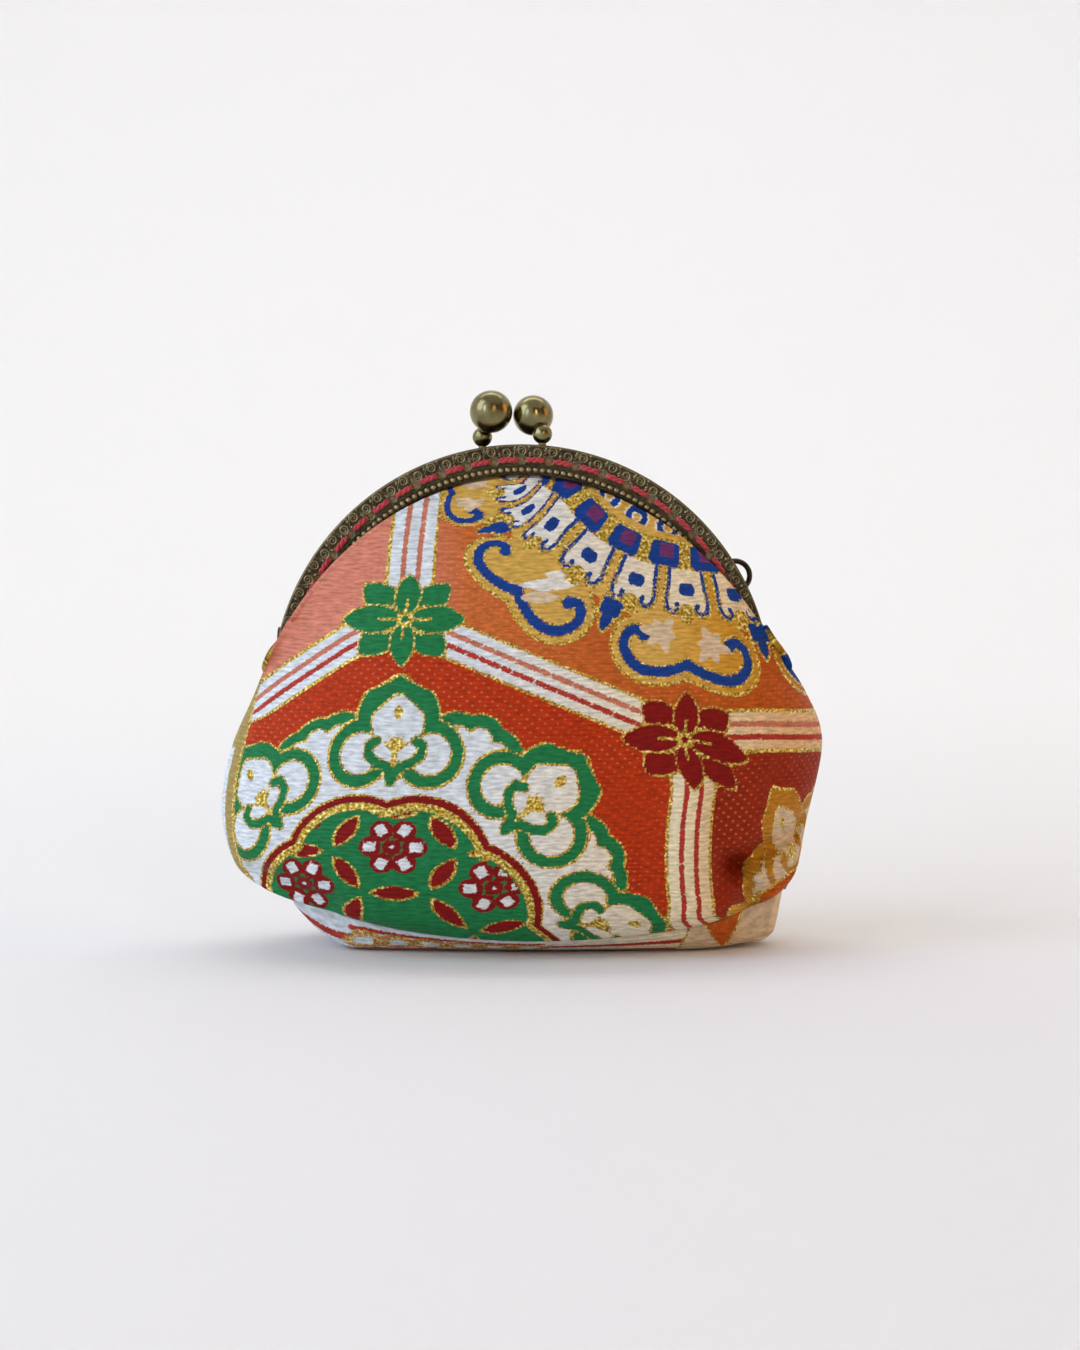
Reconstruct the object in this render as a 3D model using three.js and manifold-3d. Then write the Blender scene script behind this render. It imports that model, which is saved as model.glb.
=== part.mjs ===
// A small clasp coin purse: an arched brass frame in two hinged halves that closes with a pair
// of ball knobs, and a puffed pouch of silk brocade in three panels sewn into the frame.
// Millimetres, +Z up. The front faces -Y and the purse stands on its base panel.
import * as THREE from 'three';
import { mergeVertices } from 'three/addons/utils/BufferGeometryUtils.js';
import Module from 'manifold-3d';

const wasm = await Module();
wasm.setup();

// Frame: one circular arch, each half a sheet channel that is open towards the arch's centre.
const ARCH_RADIUS = 44;
const ARCH_CENTRE_Z = 44;
const ARCH_HALF_ANGLE = THREE.MathUtils.degToRad(76);
const ARCH_STEPS = 30;
const FLANGE = 5.4;
const INNER_FLANGE = 4.6;
const SHEET = 0.8;
const CHANNEL = 3.6;
const PARTING = 0.2; // from the parting plane to each half
const HOLE_LINE_RADIUS = 41.3;
const HOLE_PITCH = 4.8;
const HOLE_RADIUS = 0.65;
const HOLE_SIDES = 6;
const BEAD_RAIL = 1.4;
const BEAD_RAIL_HEIGHT = 0.35;
const SCROLL_LINE_RADIUS = 42.9;
const SCROLL_RADIUS = 0.85;
const SCROLL_WIDTH = 0.4;
const SCROLL_HEIGHT = 0.3;
const SCROLL_FROM = -0.35; // the hook's ends, in half turns
const SCROLL_TO = 1.25;
const SCROLL_STEPS = 4;
const SCROLL_END_MARGIN = 0.04;
const BURIED = 0.2; // how far a raised or joined part reaches into the sheet

// Hinge at each end of the arch, turning about X.
const HINGE_Z = 51.5;
const EAR_RADIUS = 2.4;
const EAR_FRONT_X = 41.3;
const EAR_BACK_X = 42.4;
const EAR_TOP_Z = 55.4;
const EAR_FROM = 0.86; // the round edge's ends, in half turns
const EAR_TO = 2.3;
const EAR_STEPS = 12;
const TURNED_SIDES = 12;
const RIVET_RADIUS = 0.9;
const RIVET_CLEARANCE = 0.25;
const RIVET_HEAD_RADIUS = 1.6;
const RIVET_HEAD = 0.6;

// Ball knobs, each on a foot ball that is riveted through the spine of its half.
const PIN_RADIUS = 0.7;
const PIN_CLEARANCE = 0.3;
const PIN_DEPTH = 1.3;
const NECK_RADIUS = 0.9;
const BALL_SEGMENTS = 16;
const FOOT_SEGMENTS = 12;
const KNOBS = [
  {
    name: 'clasp_knob_front',
    foot: { x: 3.6, y: -2, radius: 1.75 },
    ball: { x: 2.0, y: 0.7, z: 93.2, radius: 3.55 },
  },
  {
    name: 'clasp_knob_back',
    foot: { x: -7.0, y: 2, radius: 1.75 },
    ball: { x: -5.4, y: -0.7, z: 93.8, radius: 3.75 },
  },
];

// Strap eye: a wire loop on the back half, at its right.
const EYE_ANGLE = THREE.MathUtils.degToRad(61);
const EYE_RADIUS = 2.6;
const EYE_WIRE_RADIUS = 0.5;
const EYE_STEPS = 12;
const EYE_SIDES = 8;

// Cloth: the panels share these rows, from the base seam up to the edge inside the channel.
// left and right are the side seams, mid the middle of the panel, all in mm; depth is how far
// the middle bulges from the parting plane, edge how far the side seam lies from it, full how
// evenly the bulge fills the width (small is boxy), drop how flat the row's middle runs and
// steps how many lines of points lead on to the next row.
const WALL = 1.3;
const SEAM_GAP = 0.2; // from the parting plane to each side seam
const SEAM_SOFTENING = 0.2; // how far in from the side seams the dents reach their depth
const CLOTH_HALF_ANGLE = THREE.MathUtils.degToRad(72);
const PANEL_COLUMNS = 24;
const ROW_COLUMNS = [
  'leftX', 'leftZ', 'rightX', 'rightZ', 'midZ', 'depth', 'edge', 'full', 'drop', 'steps',
];
const ROWS = [
  [-42.6, 9.4, 45.8, 4.2, 1.7, 17.5, 0.25, 0.5, 0.4, 2],
  [-50.5, 13.5, 47.9, 11.5, 8, 21.8, 0.25, 0.55, 0.5, 3],
  [-53.2, 23, 50.8, 22.5, 22, 24.5, 0.25, 0.6, 0.8, 3],
  [-51.6, 34, 53.2, 35.5, 40, 22, 0.25, 0.66, 1, 3],
  [-47.2, 43.5, 50.4, 44.5, 60, 15, 1.6, 0.8, 1, 2],
  [-42.6, 50.5, 45, 51.5, 74, 8.4, 5, 0.95, 1, 2],
  [-36, 55.2, 36, 55.2, 81.1, 4.4, 4.4, 1, 1, 2],
  [-36.1, 55.8, 36.1, 55.8, 81.9, 2.6, 2.6, 1, 1, 2],
  [-40.2, 57.1, 40.2, 57.1, 86.3, 2.6, 2.6, 1, 1, 0],
].map((row) => Object.fromEntries(row.map((value, i) => [ROW_COLUMNS[i], value])));

// Dents and folds pressed into the front panel: the corner crease low on the right, the tuck
// low on the left, and the slack above them. Sizes are half widths across and up.
const DENTS = [
  { x: 37, z: 15, depth: 4.2, across: 7, up: 3.2, turn: 0.5 },
  { x: 44, z: 11, depth: 2.6, across: 8, up: 2.4, turn: 0.35 },
  { x: -44, z: 12, depth: 3.0, across: 7, up: 3.0, turn: -0.5 },
  { x: 30, z: 27, depth: -1.2, across: 4, up: 12, turn: 0 },
];

// Base panel: flat in the middle, its rim rising to the seam.
const BASE_INSET = 1.35;
const BASE_END_INSET = 2.6;
const BASE_FLAT_X = 29;
const BASE_FLAT_SHARE = 0.72;
const BASE_RIM_DROP = 0.6;
const BASE_RIM_CURVE = 1.5;
const BASE_TIP_RISE = 0.75; // share of the seam's height that the middle rises to at the tips
const BASE_TIP_HALF_DEPTH = 1.2;
const BASE_COLUMNS = 22;
const BASE_LANES = 8;

const ANTIQUE_BRASS = new THREE.MeshStandardMaterial({ color: '#6b6038', roughness: 0.38, metalness: 1 });
const POLISHED_BRASS = new THREE.MeshStandardMaterial({ color: '#8a7a3c', roughness: 0.25, metalness: 1 });
const BROCADE = new THREE.MeshStandardMaterial({ color: '#bc4a1c', roughness: 0.6, metalness: 0 });
const BROCADE_BASE = new THREE.MeshStandardMaterial({ color: '#d8d2c4', roughness: 0.6, metalness: 0 });

const { lerp, smoothstep } = THREE.MathUtils;

// Solids

function toSolid(geometry) {
  const bare = geometry.clone();
  bare.deleteAttribute('normal');
  bare.deleteAttribute('uv');
  const merged = mergeVertices(bare, 1e-4);
  return new wasm.Manifold(new wasm.Mesh({
    numProp: 3,
    vertProperties: new Float32Array(merged.attributes.position.array),
    triVerts: new Uint32Array(merged.index.array),
  }));
}

function toGeometry(solid) {
  const mesh = solid.getMesh();
  const geometry = new THREE.BufferGeometry();
  geometry.setAttribute('position', new THREE.BufferAttribute(mesh.vertProperties, 3));
  geometry.setIndex(new THREE.BufferAttribute(mesh.triVerts, 1));
  geometry.computeVertexNormals();
  return geometry;
}

function join(geometries) {
  return geometries.map(toSolid).reduce((whole, piece) => whole.add(piece));
}

function part(name, geometry, material) {
  const mesh = new THREE.Mesh(geometry, material);
  mesh.name = name;
  return mesh;
}

// Frame

// A point of the arch in the (x, z) plane, at an angle from the top towards +X.
function archPoint(radius, angle) {
  return new THREE.Vector2(radius * Math.sin(angle), ARCH_CENTRE_Z + radius * Math.cos(angle));
}

// Extrudes an outline in the (x, z) plane between two values of y.
function plate(shape, yFrom, yTo) {
  const geometry = new THREE.ExtrudeGeometry(shape, { depth: yTo - yFrom, bevelEnabled: false });
  return geometry.rotateX(Math.PI / 2).translate(0, yTo, 0);
}

function arcPoints(radius, from, to) {
  const angle = (i) => lerp(from, to, i / ARCH_STEPS);
  return Array.from({ length: ARCH_STEPS + 1 }, (_, i) => archPoint(radius, angle(i)));
}

function archBand(inner, outer) {
  return new THREE.Shape([
    ...arcPoints(outer, -ARCH_HALF_ANGLE, ARCH_HALF_ANGLE).reverse(),
    ...arcPoints(inner, -ARCH_HALF_ANGLE, ARCH_HALF_ANGLE),
  ]);
}

function roundHole(centre, radius) {
  const points = Array.from({ length: HOLE_SIDES }, (_, i) => {
    const turn = (2 * Math.PI * (i + 0.5)) / HOLE_SIDES;
    return new THREE.Vector2(centre.x + radius * Math.cos(turn), centre.y + radius * Math.sin(turn));
  });
  return new THREE.Path(points);
}

// Angles of a row of things spaced evenly along the arch, symmetric about its top.
function spaced(radius, pitch, halfAngle) {
  const step = pitch / radius;
  const count = Math.floor(halfAngle / step);
  return Array.from({ length: 2 * count + 1 }, (_, i) => (i - count) * step);
}

function faceFlange() {
  const shape = archBand(ARCH_RADIUS - FLANGE, ARCH_RADIUS);
  const reach = ARCH_HALF_ANGLE - 2 * HOLE_RADIUS / HOLE_LINE_RADIUS;
  for (const angle of spaced(HOLE_LINE_RADIUS, HOLE_PITCH, reach)) {
    shape.holes.push(roundHole(archPoint(HOLE_LINE_RADIUS, angle), HOLE_RADIUS));
  }
  return plate(shape, -PARTING - CHANNEL, -PARTING - CHANNEL + SHEET);
}

// One stamped scroll: a ribbon bent round to a hook, opening up or down the arch in turn.
function scroll(angle, side) {
  const centre = archPoint(SCROLL_LINE_RADIUS, angle);
  const rim = (radius) => Array.from({ length: SCROLL_STEPS + 1 }, (_, i) => {
    const turn = -angle + side * lerp(SCROLL_FROM, SCROLL_TO, i / SCROLL_STEPS) * Math.PI;
    return new THREE.Vector2(centre.x + radius * Math.cos(turn), centre.y + radius * Math.sin(turn));
  });
  const face = -PARTING - CHANNEL;
  const outline = [...rim(SCROLL_RADIUS), ...rim(SCROLL_RADIUS - SCROLL_WIDTH).reverse()];
  return plate(new THREE.Shape(outline), face - SCROLL_HEIGHT, face + BURIED);
}

// A hinge ear: a round plate square to X, with a tab up into the end of its half.
function hingeEar(x, side) {
  const tab = [
    new THREE.Vector2(-PARTING - BURIED, HINGE_Z + EAR_RADIUS / 2),
    new THREE.Vector2(-PARTING - BURIED, EAR_TOP_Z),
    new THREE.Vector2(-PARTING - CHANNEL + BURIED, EAR_TOP_Z),
    new THREE.Vector2(-PARTING - CHANNEL + BURIED, HINGE_Z + EAR_RADIUS),
  ];
  const disc = Array.from({ length: EAR_STEPS + 1 }, (_, i) => {
    const turn = lerp(EAR_FROM, EAR_TO, i / EAR_STEPS) * Math.PI;
    return new THREE.Vector2(EAR_RADIUS * Math.cos(turn), HINGE_Z + EAR_RADIUS * Math.sin(turn));
  });
  const shape = new THREE.Shape([...disc, ...tab]);
  shape.holes.push(roundHole(new THREE.Vector2(0, HINGE_Z), RIVET_RADIUS + RIVET_CLEARANCE));
  const ear = new THREE.ExtrudeGeometry(shape, { depth: SHEET, bevelEnabled: false });
  ear.rotateX(Math.PI / 2).rotateZ(Math.PI / 2);
  return ear.translate(side > 0 ? x : -x - SHEET, 0, 0);
}

function strapEye(angle) {
  const out = archPoint(1, angle).sub(new THREE.Vector2(0, ARCH_CENTRE_Z));
  const along = new THREE.Vector2(-out.y, out.x);
  const centre = archPoint(ARCH_RADIUS - SHEET / 2, angle);
  const wire = Array.from({ length: EYE_SIDES + 1 }, (_, i) => {
    const turn = (Math.PI * i) / EYE_SIDES;
    const place = centre.clone()
      .addScaledVector(along, EYE_RADIUS * Math.cos(turn))
      .addScaledVector(out, EYE_RADIUS * Math.sin(turn));
    return new THREE.Vector3(place.x, -PARTING - CHANNEL / 2, place.y);
  });
  const section = new THREE.Shape().absarc(0, 0, EYE_WIRE_RADIUS, 0, 2 * Math.PI);
  return new THREE.ExtrudeGeometry(section, {
    steps: EYE_STEPS,
    curveSegments: EYE_SIDES,
    extrudePath: new THREE.CatmullRomCurve3(wire),
    bevelEnabled: false,
  });
}

// The pin hole that a knob's foot is riveted through.
function pinHole(x, y) {
  const radius = PIN_RADIUS + PIN_CLEARANCE;
  const hole = new THREE.CylinderGeometry(radius, radius, 3 * SHEET, TURNED_SIDES);
  return hole.rotateX(Math.PI / 2).translate(x, y, spineTop(x));
}

function spineTop(x) {
  return ARCH_CENTRE_Z + Math.sqrt(ARCH_RADIUS ** 2 - x ** 2);
}

// A half is modelled at the front; the back one is the same half turned about Z, so its own
// left is the purse's right.
function frameHalf(knobX, earX, extras) {
  const pieces = [
    faceFlange(),
    plate(archBand(ARCH_RADIUS - SHEET, ARCH_RADIUS), -PARTING - CHANNEL, -PARTING),
    plate(archBand(ARCH_RADIUS - INNER_FLANGE, ARCH_RADIUS), -PARTING - SHEET, -PARTING),
    plate(
      archBand(ARCH_RADIUS - FLANGE, ARCH_RADIUS - FLANGE + BEAD_RAIL),
      -PARTING - CHANNEL - BEAD_RAIL_HEIGHT,
      -PARTING - CHANNEL + BURIED,
    ),
    hingeEar(earX, 1),
    hingeEar(earX, -1),
    ...extras,
  ];
  spaced(SCROLL_LINE_RADIUS, 2 * HOLE_PITCH, ARCH_HALF_ANGLE - SCROLL_END_MARGIN).forEach((angle, i) => {
    pieces.push(scroll(angle, i % 2 ? 1 : -1));
  });
  return join(pieces).subtract(toSolid(pinHole(knobX, -PARTING - CHANNEL / 2)));
}

function rivet() {
  const gap = RIVET_CLEARANCE;
  const inner = EAR_FRONT_X - gap;
  const outer = EAR_BACK_X + SHEET + gap;
  const profile = [
    [0, inner - RIVET_HEAD], [RIVET_HEAD_RADIUS, inner - RIVET_HEAD], [RIVET_HEAD_RADIUS, inner],
    [RIVET_RADIUS, inner], [RIVET_RADIUS, outer], [RIVET_HEAD_RADIUS, outer],
    [RIVET_HEAD_RADIUS, outer + RIVET_HEAD / 2], [RIVET_HEAD_RADIUS / 2, outer + RIVET_HEAD],
    [0, outer + RIVET_HEAD],
  ];
  const points = profile.map(([radius, height]) => new THREE.Vector2(radius, height));
  const lathe = new THREE.LatheGeometry(points, TURNED_SIDES);
  return lathe.rotateZ(-Math.PI / 2).translate(0, 0, HINGE_Z);
}

// Knobs

// A cone or pin between two points.
function rod(from, to, radiusFrom, radiusTo) {
  const along = to.clone().sub(from);
  const geometry = new THREE.CylinderGeometry(radiusTo, radiusFrom, along.length(), TURNED_SIDES);
  const turn = new THREE.Quaternion().setFromUnitVectors(new THREE.Vector3(0, 1, 0), along.normalize());
  return geometry.applyQuaternion(turn).translate(...from.clone().add(to).multiplyScalar(0.5));
}

function ballAt(place, radius, segments) {
  return new THREE.SphereGeometry(radius, segments, Math.ceil(segments * 0.6)).translate(...place);
}

function knob({ foot, ball }) {
  const seat = spineTop(foot.x) + PIN_CLEARANCE;
  const footCentre = new THREE.Vector3(foot.x, foot.y, seat + foot.radius);
  const ballCentre = new THREE.Vector3(ball.x, ball.y, ball.z);
  const pinEnd = new THREE.Vector3(foot.x, foot.y, seat - PIN_CLEARANCE - PIN_DEPTH);
  return toGeometry(join([
    ballAt(ballCentre, ball.radius, BALL_SEGMENTS),
    ballAt(footCentre, foot.radius, FOOT_SEGMENTS),
    rod(footCentre, ballCentre, NECK_RADIUS, NECK_RADIUS),
    rod(pinEnd, footCentre, PIN_RADIUS, PIN_RADIUS),
  ]));
}

// Cloth

// A smooth value between the rows, by a Catmull-Rom curve through the row's column.
function alongRows(column, row, share) {
  const at = (i) => ROWS[Math.min(Math.max(i, 0), ROWS.length - 1)][column];
  const [a, b, c, d] = [at(row - 1), at(row), at(row + 1), at(row + 2)];
  const slopeB = (c - a) / 2;
  const slopeC = (d - b) / 2;
  const s2 = share * share;
  const s3 = s2 * share;
  const blend = 3 * s2 - 2 * s3;
  return lerp(b, c, blend) + slopeB * (s3 - 2 * s2 + share) + slopeC * (s3 - s2);
}

// How far up the crown of the arch a column stands, 1 in the middle and 0 at the side seams.
function crown(u) {
  const base = Math.cos(CLOTH_HALF_ANGLE);
  return (Math.cos(CLOTH_HALF_ANGLE * u) - base) / (1 - base);
}

function dentAt(x, z) {
  return DENTS.reduce((sum, dent) => {
    const dx = x - dent.x;
    const dz = z - dent.z;
    const across = (dx * Math.cos(dent.turn) + dz * Math.sin(dent.turn)) / dent.across;
    const up = (dz * Math.cos(dent.turn) - dx * Math.sin(dent.turn)) / dent.up;
    return sum + dent.depth * Math.exp(-across * across - up * up);
  }, 0);
}

// The outer face of a panel, u from -1 at the left seam to 1 at the right one. side is -1 for
// the front and 1 for the back.
function clothPoint(u, row, share, side, dented) {
  const value = (column) => alongRows(column, row, share);
  const rise = Math.max(crown(u), 0);
  const sideways = Math.sin(CLOTH_HALF_ANGLE * u) / Math.sin(CLOTH_HALF_ANGLE);
  const x = lerp(value('leftX'), value('rightX'), (sideways + 1) / 2);
  const seamZ = lerp(value('leftZ'), value('rightZ'), (sideways + 1) / 2);
  const z = lerp(seamZ, value('midZ'), rise ** value('drop'));
  const edge = value('edge');
  const bulge = edge + (value('depth') - edge) * rise ** value('full');
  const soft = smoothstep(rise, 0, SEAM_SOFTENING);
  const pressed = dented ? Math.min(dentAt(x, z), bulge - edge) * soft : 0;
  return new THREE.Vector3(x, side * (bulge - pressed), z);
}

// Closes a grid of outer points and the same grid of inner points into one wall.
function closedWall(outer, inner) {
  const columns = outer[0].length;
  const lines = outer.length;
  const points = [...outer.flat(), ...inner.flat()];
  const half = lines * columns;
  const index = [];
  const quad = (a, b, c, d) => index.push(a, b, c, a, c, d);
  for (let j = 0; j < lines - 1; j++) {
    for (let i = 0; i < columns - 1; i++) {
      const k = j * columns + i;
      quad(k, k + 1, k + columns + 1, k + columns);
      quad(half + k, half + k + columns, half + k + columns + 1, half + k + 1);
    }
  }
  const rim = [];
  for (let i = 0; i < columns - 1; i++) rim.push(i);
  for (let j = 0; j < lines - 1; j++) rim.push(j * columns + columns - 1);
  for (let i = columns - 1; i > 0; i--) rim.push((lines - 1) * columns + i);
  for (let j = lines - 1; j > 0; j--) rim.push(j * columns);
  rim.forEach((a, n) => {
    const b = rim[(n + 1) % rim.length];
    quad(a, half + a, half + b, b);
  });
  const geometry = new THREE.BufferGeometry().setFromPoints(points);
  geometry.setIndex(index);
  geometry.computeVertexNormals();
  return geometry;
}

// The inner face: each point moved back from the outer face by the cloth's thickness, and kept
// on its own side of the parting plane where side is -1 or 1.
function innerFace(outer, side) {
  return outer.map((line, j) => line.map((point, i) => {
    const across = line[Math.min(i + 1, line.length - 1)].clone().sub(line[Math.max(i - 1, 0)]);
    const up = outer[Math.min(j + 1, outer.length - 1)][i].clone().sub(outer[Math.max(j - 1, 0)][i]);
    const normal = across.cross(up).normalize();
    const place = point.clone().addScaledVector(normal, -WALL);
    if (side) place.y = side * Math.max(side * place.y, SEAM_GAP);
    return place;
  }));
}

function panel(side, dented) {
  const outer = [];
  ROWS.forEach((row, j) => {
    const count = row.steps || 1;
    for (let k = 0; k < count; k++) {
      outer.push(Array.from({ length: PANEL_COLUMNS + 1 }, (_, i) => {
        const u = (side < 0 ? 1 : -1) * ((2 * i) / PANEL_COLUMNS - 1);
        return clothPoint(u, j, k / count, side, dented);
      }));
    }
  });
  return closedWall(outer, innerFace(outer, side));
}

function basePanel() {
  const lines = Array.from({ length: BASE_LANES + 1 }, (_, j) => {
    const lane = (2 * j) / BASE_LANES - 1;
    return Array.from({ length: BASE_COLUMNS + 1 }, (_, i) => {
      const u = 1 - (2 * i) / BASE_COLUMNS;
      const seam = clothPoint(u, 0, 0, 1, false);
      const shrink = 1 - BASE_END_INSET / Math.max(...ROWS.map((row) => row.rightX));
      const x = seam.x * shrink;
      const halfDepth = Math.max(seam.y - BASE_INSET, BASE_TIP_HALF_DEPTH);
      const tip = smoothstep(Math.abs(x), BASE_FLAT_X, Math.abs(ROWS[0].leftX));
      const middle = seam.z * BASE_TIP_RISE * tip;
      const rim = Math.max(seam.z - BASE_RIM_DROP, middle);
      const outward = Math.max((Math.abs(lane) - BASE_FLAT_SHARE) / (1 - BASE_FLAT_SHARE), 0);
      const height = lerp(middle, rim, outward ** BASE_RIM_CURVE);
      return new THREE.Vector3(x, lane * halfDepth, height);
    });
  });
  return closedWall(lines, innerFace(lines, 0));
}

const purse = new THREE.Group();

const frontHalf = frameHalf(KNOBS[0].foot.x, EAR_FRONT_X, []);
const backHalf = frameHalf(-KNOBS[1].foot.x, EAR_BACK_X, [strapEye(-EYE_ANGLE)]);
purse.add(part('frame_front', toGeometry(frontHalf), ANTIQUE_BRASS));
const frameBack = part('frame_back', toGeometry(backHalf), ANTIQUE_BRASS);
frameBack.rotation.z = Math.PI;
purse.add(frameBack);

KNOBS.forEach((sizes) => purse.add(part(sizes.name, knob(sizes), POLISHED_BRASS)));

for (const [side, turn] of [['right', 0], ['left', Math.PI]]) {
  const mesh = part(`hinge_rivet_${side}`, rivet(), ANTIQUE_BRASS);
  mesh.rotation.z = turn;
  purse.add(mesh);
}

purse.add(part('pouch_front', panel(-1, true), BROCADE));
purse.add(part('pouch_back', panel(1, false), BROCADE));
purse.add(part('pouch_base', basePanel(), BROCADE_BASE));

// The origin is the middle of the box, on the surface that the purse stands on.
const box = new THREE.Box3().setFromObject(purse);
const middle = box.getCenter(new THREE.Vector3());
purse.position.set(-middle.x, -middle.y, -box.min.z);

export default purse;
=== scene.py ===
import math

import bmesh
import bpy
import numpy as np
from mathutils import Matrix, Vector


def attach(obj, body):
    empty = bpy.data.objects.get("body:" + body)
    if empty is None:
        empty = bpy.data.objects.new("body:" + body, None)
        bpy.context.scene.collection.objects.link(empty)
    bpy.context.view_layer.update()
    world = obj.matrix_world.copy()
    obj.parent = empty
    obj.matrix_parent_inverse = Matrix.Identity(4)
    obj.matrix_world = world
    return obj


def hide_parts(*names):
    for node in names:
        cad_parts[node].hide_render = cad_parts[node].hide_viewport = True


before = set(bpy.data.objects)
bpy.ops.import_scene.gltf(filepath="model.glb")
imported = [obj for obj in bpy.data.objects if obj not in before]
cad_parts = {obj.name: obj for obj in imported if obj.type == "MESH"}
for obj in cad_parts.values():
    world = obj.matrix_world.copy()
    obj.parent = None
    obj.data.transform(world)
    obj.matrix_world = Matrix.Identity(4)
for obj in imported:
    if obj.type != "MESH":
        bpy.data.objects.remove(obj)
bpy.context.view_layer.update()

# Front panel of the pouch. One piece of figured silk brocade, cut with a rounded top, eased into
# the frame's channel along its upper edge and seamed to the back and base panels round the rest.
MM = 0.001
ARCH_Z = 44.0  # height of the centre of the frame's arch
HOLE_R = 41.3  # the frame's sewing holes, at which the cloth is gathered
HOLE_PITCH = 4.8
CLOTH_SWEEP = math.radians(72)  # half the arc of the frame that the cloth is sewn to
CLOTH_THICKNESS = 0.9
COLUMNS = 250

# A line of the cloth per row, from the base seam up to the edge inside the channel: x and z of
# the left and right side seams, z of the middle, how far the middle and the seams stand from the
# parting plane, how full the line is across, how flat its middle runs, and the mesh lines to the
# next row.
FRONT_ROWS = np.array(
    [
        [-42.6, 12.0, 47.0, 10.4, 2.6, 17.5, 0.12, 0.50, 1.05, 14],
        [-50.6, 15.0, 48.9, 14.0, 8.0, 21.8, 0.12, 0.55, 0.60, 24],
        [-53.2, 23.5, 50.4, 21.5, 22.0, 24.5, 0.12, 0.60, 0.80, 32],
        [-51.6, 34.0, 53.2, 35.5, 40.0, 22.0, 0.12, 0.66, 1.00, 36],
        [-47.6, 43.5, 50.2, 44.5, 60.0, 15.0, 0.40, 0.80, 1.00, 28],
        [-44.0, 51.0, 44.8, 52.0, 73.6, 8.8, 5.50, 0.90, 1.08, 22],
        [-40.6, 57.4, 40.6, 57.8, 81.6, 5.2, 6.20, 1.00, 1.20, 6],
        [-38.0, 56.4, 37.8, 56.8, 81.3, 4.6, 5.00, 1.00, 1.15, 4],
        [-36.2, 55.6, 36.2, 55.6, 81.6, 2.7, 2.70, 1.00, 1.00, 6],
        [-40.2, 57.1, 40.2, 57.1, 86.3, 2.6, 2.60, 1.00, 1.00, 0],
    ]
)
FLANGE_ROW = 6  # the row in which the cloth lies on the frame's flange
FADE_ROWS = 1.2

# Creases pressed into the panel: from and to in (x, z), how deep and how wide, in mm. A negative
# depth is a ridge.
FRONT_CREASES = [
    (36.5, 15.5, 49.5, 20.5, 4.6, 2.2),
    (37.0, 15.0, 40.0, 6.0, 3.4, 2.0),
    (41.0, 9.5, 48.5, 14.0, 3.2, 1.9),
    (34.0, 12.0, 33.5, 27.0, 1.8, 2.4),
    (29.5, 8.0, 29.0, 30.0, -1.5, 4.5),
    (41.5, 13.0, 49.5, 17.5, -1.6, 1.7),
    (-46.0, 13.8, -33.0, 8.5, 3.4, 2.4),
    (-50.0, 19.0, -42.0, 14.5, -1.2, 2.2),
    (44.0, 30.0, 52.0, 33.0, 1.0, 3.0),
]
DEEPEST_CREASE = 0.55  # of the way in to the depth of the seams
SEAM_MARGIN = 0.12  # of the rise, in which the seam keeps the cloth even
PUCKER_R = 39.5
PUCKER_REACH = 6.0
PUCKER_DEPTH = 0.16
SLACK = 0.35


def along_rows(rows, line):
    """The rows' columns at each mesh line, on a Catmull-Rom curve through the rows."""
    k = np.clip(line.astype(int), 0, len(rows) - 2)
    s = (line - k)[:, None]
    a, b, c, d = (rows[np.clip(k + n, 0, len(rows) - 1)] for n in (-1, 0, 1, 2))
    return b + 0.5 * s * (c - a + s * (2 * a - 5 * b + 4 * c - d + s * (3 * (b - c) + d - a)))


def ease(value, start, end):
    """0 before start, 1 past end and smooth between them."""
    s = np.clip((value - start) / (end - start), 0, 1)
    return s * s * (3 - 2 * s)


def segment_distance(x, y, ax, ay, bx, by):
    dx, dy = bx - ax, by - ay
    s = np.clip(((x - ax) * dx + (y - ay) * dy) / (dx * dx + dy * dy), 0, 1)
    return np.hypot(x - ax - s * dx, y - ay - s * dy)


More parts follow.
